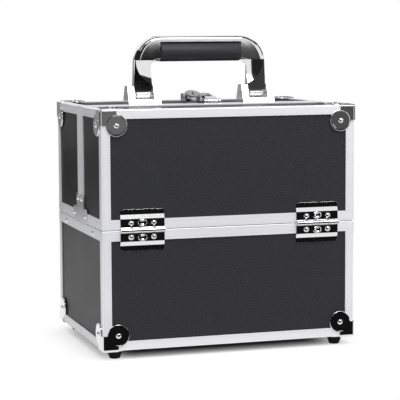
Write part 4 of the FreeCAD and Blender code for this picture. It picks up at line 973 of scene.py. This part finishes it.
class TRAINCASE_OT_stage(bpy.types.Operator):
    """Set the floor, the light and the camera"""

    bl_idname = "traincase.stage"
    bl_label = "Stage"

    def execute(self, context):
        scene = context.scene
        view = scene.case_view
        self.room(scene, view)
        self.floor(scene.case_paint)
        self.cards()
        self.lamp(view)
        self.camera(scene, view)
        scene.view_settings.view_transform = "Standard"
        return {"FINISHED"}

    def seen(self, finish):
        """1 for rays that show the background: from the camera, from mirrors and through glass."""
        rays = finish.node("ShaderNodeLightPath")
        camera, glossy, through = [Wire(finish, rays.outputs[name]) for name in (
            "Is Camera Ray", "Is Glossy Ray", "Is Transmission Ray")]
        return camera.math("MAXIMUM", glossy).math("MAXIMUM", through)

    def room(self, scene, view):
        """Even light from all round, white where it is seen."""
        room = Finish("room", store="worlds")
        scene.world = room.owner
        room.tree.nodes.clear()
        seen = self.seen(room)
        light = room.node("ShaderNodeBackground", None, WHITE, seen * (1 - view.sky) + view.sky)
        out = room.node("ShaderNodeOutputWorld")
        room.feed(out.inputs["Surface"], light.outputs[0])

    def floor(self, paint):
        """A pale floor with the shadow of the case, white further out where it is seen."""
        settle()
        bpy.ops.mesh.primitive_plane_add(size=FLOOR_SPAN)
        floor = fresh("floor")
        bpy.ops.object.mode_set(mode="EDIT")
        bpy.ops.mesh.subdivide(number_cuts=FLOOR_CUTS)
        bpy.ops.object.mode_set(mode="OBJECT")
        made = Finish("studio_floor")
        (x, y, _), _, _ = made.spots()
        beside = (abs(x) - HALF_WIDTH + SHADE_INSET).math("MAXIMUM", 0.0)
        beyond = (abs(y) - HALF_DEPTH + SHADE_INSET).math("MAXIMUM", 0.0)
        away = (beside * beside + beyond * beyond).math("SQRT")
        speck = made.noise(size=3, detail=2)
        made.set(Base_Color=made.blend(shade(paint.floor, 0.985), paint.floor, speck), Roughness=0.9,
                 Specular_IOR_Level=0.1)
        glow = made.node("ShaderNodeEmission", None, WHITE, 1.0)
        share = self.seen(made) * away.ramp(0, SHADE_REACH)
        mixed = made.node("ShaderNodeMixShader", None, share, made.shader.outputs[0], glow.outputs[0])
        made.feed(made.tree.nodes["Material Output"].inputs["Surface"], mixed.outputs[0])
        floor.data.materials.append(made.owner)

    def cards(self):
        """Dark and grey glowing cards that only mirrors see: painted reflections, which give the plating
        its bands.
        """
        for name, tone, turns, distance, width, low, high, shift in CARDS:
            material = self.glow(f"{name}_card", tone)
            for turn in turns:
                reach = (HALF_DEPTH, HALF_WIDTH)[turn % 2] + distance
                stand = facing((0, -1, 0), (shift, -reach, (high + low) / 2))
                place = Matrix.Rotation(math.radians(90 * turn), 4, "Z") @ stand
                self.card(f"{name}_card_{turn}", place, width, high - low, material)
        material = self.glow("hood_card", HOOD_TONE)
        for sx in SIDES:
            place = facing((0, 0, -1), HOOD_PLACE * Vector((sx, 1, 1)))
            self.card(f"hood_card_{sx + 1}", place, HOOD_WIDTH, HOOD_LENGTH, material)

    def glow(self, name, tone):
        """A grey that keeps its tone in any light."""
        made = Finish(name)
        light = made.node("ShaderNodeEmission", None, (tone, tone, tone, 1), 1.0)
        made.feed(made.tree.nodes["Material Output"].inputs["Surface"], light.outputs[0])
        return made.owner

    def card(self, name, place, width, height, material):
        """One card, put in place by a matrix."""
        settle()
        bpy.ops.mesh.primitive_plane_add(size=1)
        card = fresh(name)
        bpy.ops.object.mode_set(mode="EDIT")
        bpy.ops.transform.resize(value=(width * MM, height * MM, 1))
        bpy.ops.object.mode_set(mode="OBJECT")
        card.data.transform(place)
        card.data.materials.append(material)
        for ray in HIDDEN_RAYS:
            setattr(card, f"visible_{ray}", False)

    def lamp(self, view):
        """One wide soft lamp above the front."""
        settle()
        bpy.ops.object.light_add(type="SUN")
        key = bpy.context.object
        key.name = "key"
        key.data.energy = view.key
        key.data.angle = math.radians(KEY_SPREAD)
        key.rotation_euler = Vector(KEY_WAY).to_track_quat("-Z", "Y").to_euler()

    def camera(self, scene, view):
        """The camera of the photo, fitted to the corners of the case."""
        settle()
        bpy.ops.object.camera_add()
        camera = bpy.context.object
        forward = Vector((math.sin(view.yaw) * math.cos(view.pitch),
                          math.cos(view.yaw) * math.cos(view.pitch), -math.sin(view.pitch)))
        right = Vector((math.cos(view.yaw), -math.sin(view.yaw), 0))
        down = forward.cross(right)
        across = math.cos(view.roll) * right + math.sin(view.roll) * down
        under = math.cos(view.roll) * down - math.sin(view.roll) * right
        turn = Matrix((across, -under, -forward)).transposed().to_4x4()
        camera.matrix_world = Matrix.Translation(view.position) @ turn
        camera.data.lens = view.lens
        camera.data.sensor_width = view.sensor
        camera.data.clip_start = view.near
        scene.camera = camera


class TRAINCASE_PT_panel(bpy.types.Panel):
    """Sizes, colours and steps of the train case"""

    bl_idname = "TRAINCASE_PT_panel"
    bl_label = "Train case"
    bl_space_type = "VIEW_3D"
    bl_region_type = "UI"
    bl_category = "Train Case"

    def draw(self, context):
        for group in (context.scene.case_sizes, context.scene.case_paint, context.scene.case_view):
            box = self.layout.box()
            for key in group.__annotations__:
                box.prop(group, key)
        for step in STEPS:
            self.layout.operator(step.bl_idname)


STEPS = (TRAINCASE_OT_boards, TRAINCASE_OT_trims, TRAINCASE_OT_caps, TRAINCASE_OT_hinges,
         TRAINCASE_OT_plates, TRAINCASE_OT_handle, TRAINCASE_OT_lock, TRAINCASE_OT_trays,
         TRAINCASE_OT_lining, TRAINCASE_OT_feet, TRAINCASE_OT_stage)
GROUPS = {"case_sizes": CaseSizes, "case_paint": CasePaint, "case_view": CaseView}


def register():
    for kind in (*GROUPS.values(), *STEPS, TRAINCASE_PT_panel):
        bpy.utils.register_class(kind)
    for name, kind in GROUPS.items():
        setattr(bpy.types.Scene, name, PointerProperty(type=kind))


def unregister():
    for name in GROUPS:
        delattr(bpy.types.Scene, name)
    for kind in (TRAINCASE_PT_panel, *reversed(STEPS), *reversed(GROUPS.values())):
        bpy.utils.unregister_class(kind)


def main():
    register()
    for step in STEPS:
        family, action = step.bl_idname.split(".")
        getattr(getattr(bpy.ops, family), action)()
    settle()
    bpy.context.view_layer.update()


if __name__ == "__main__":
    main()
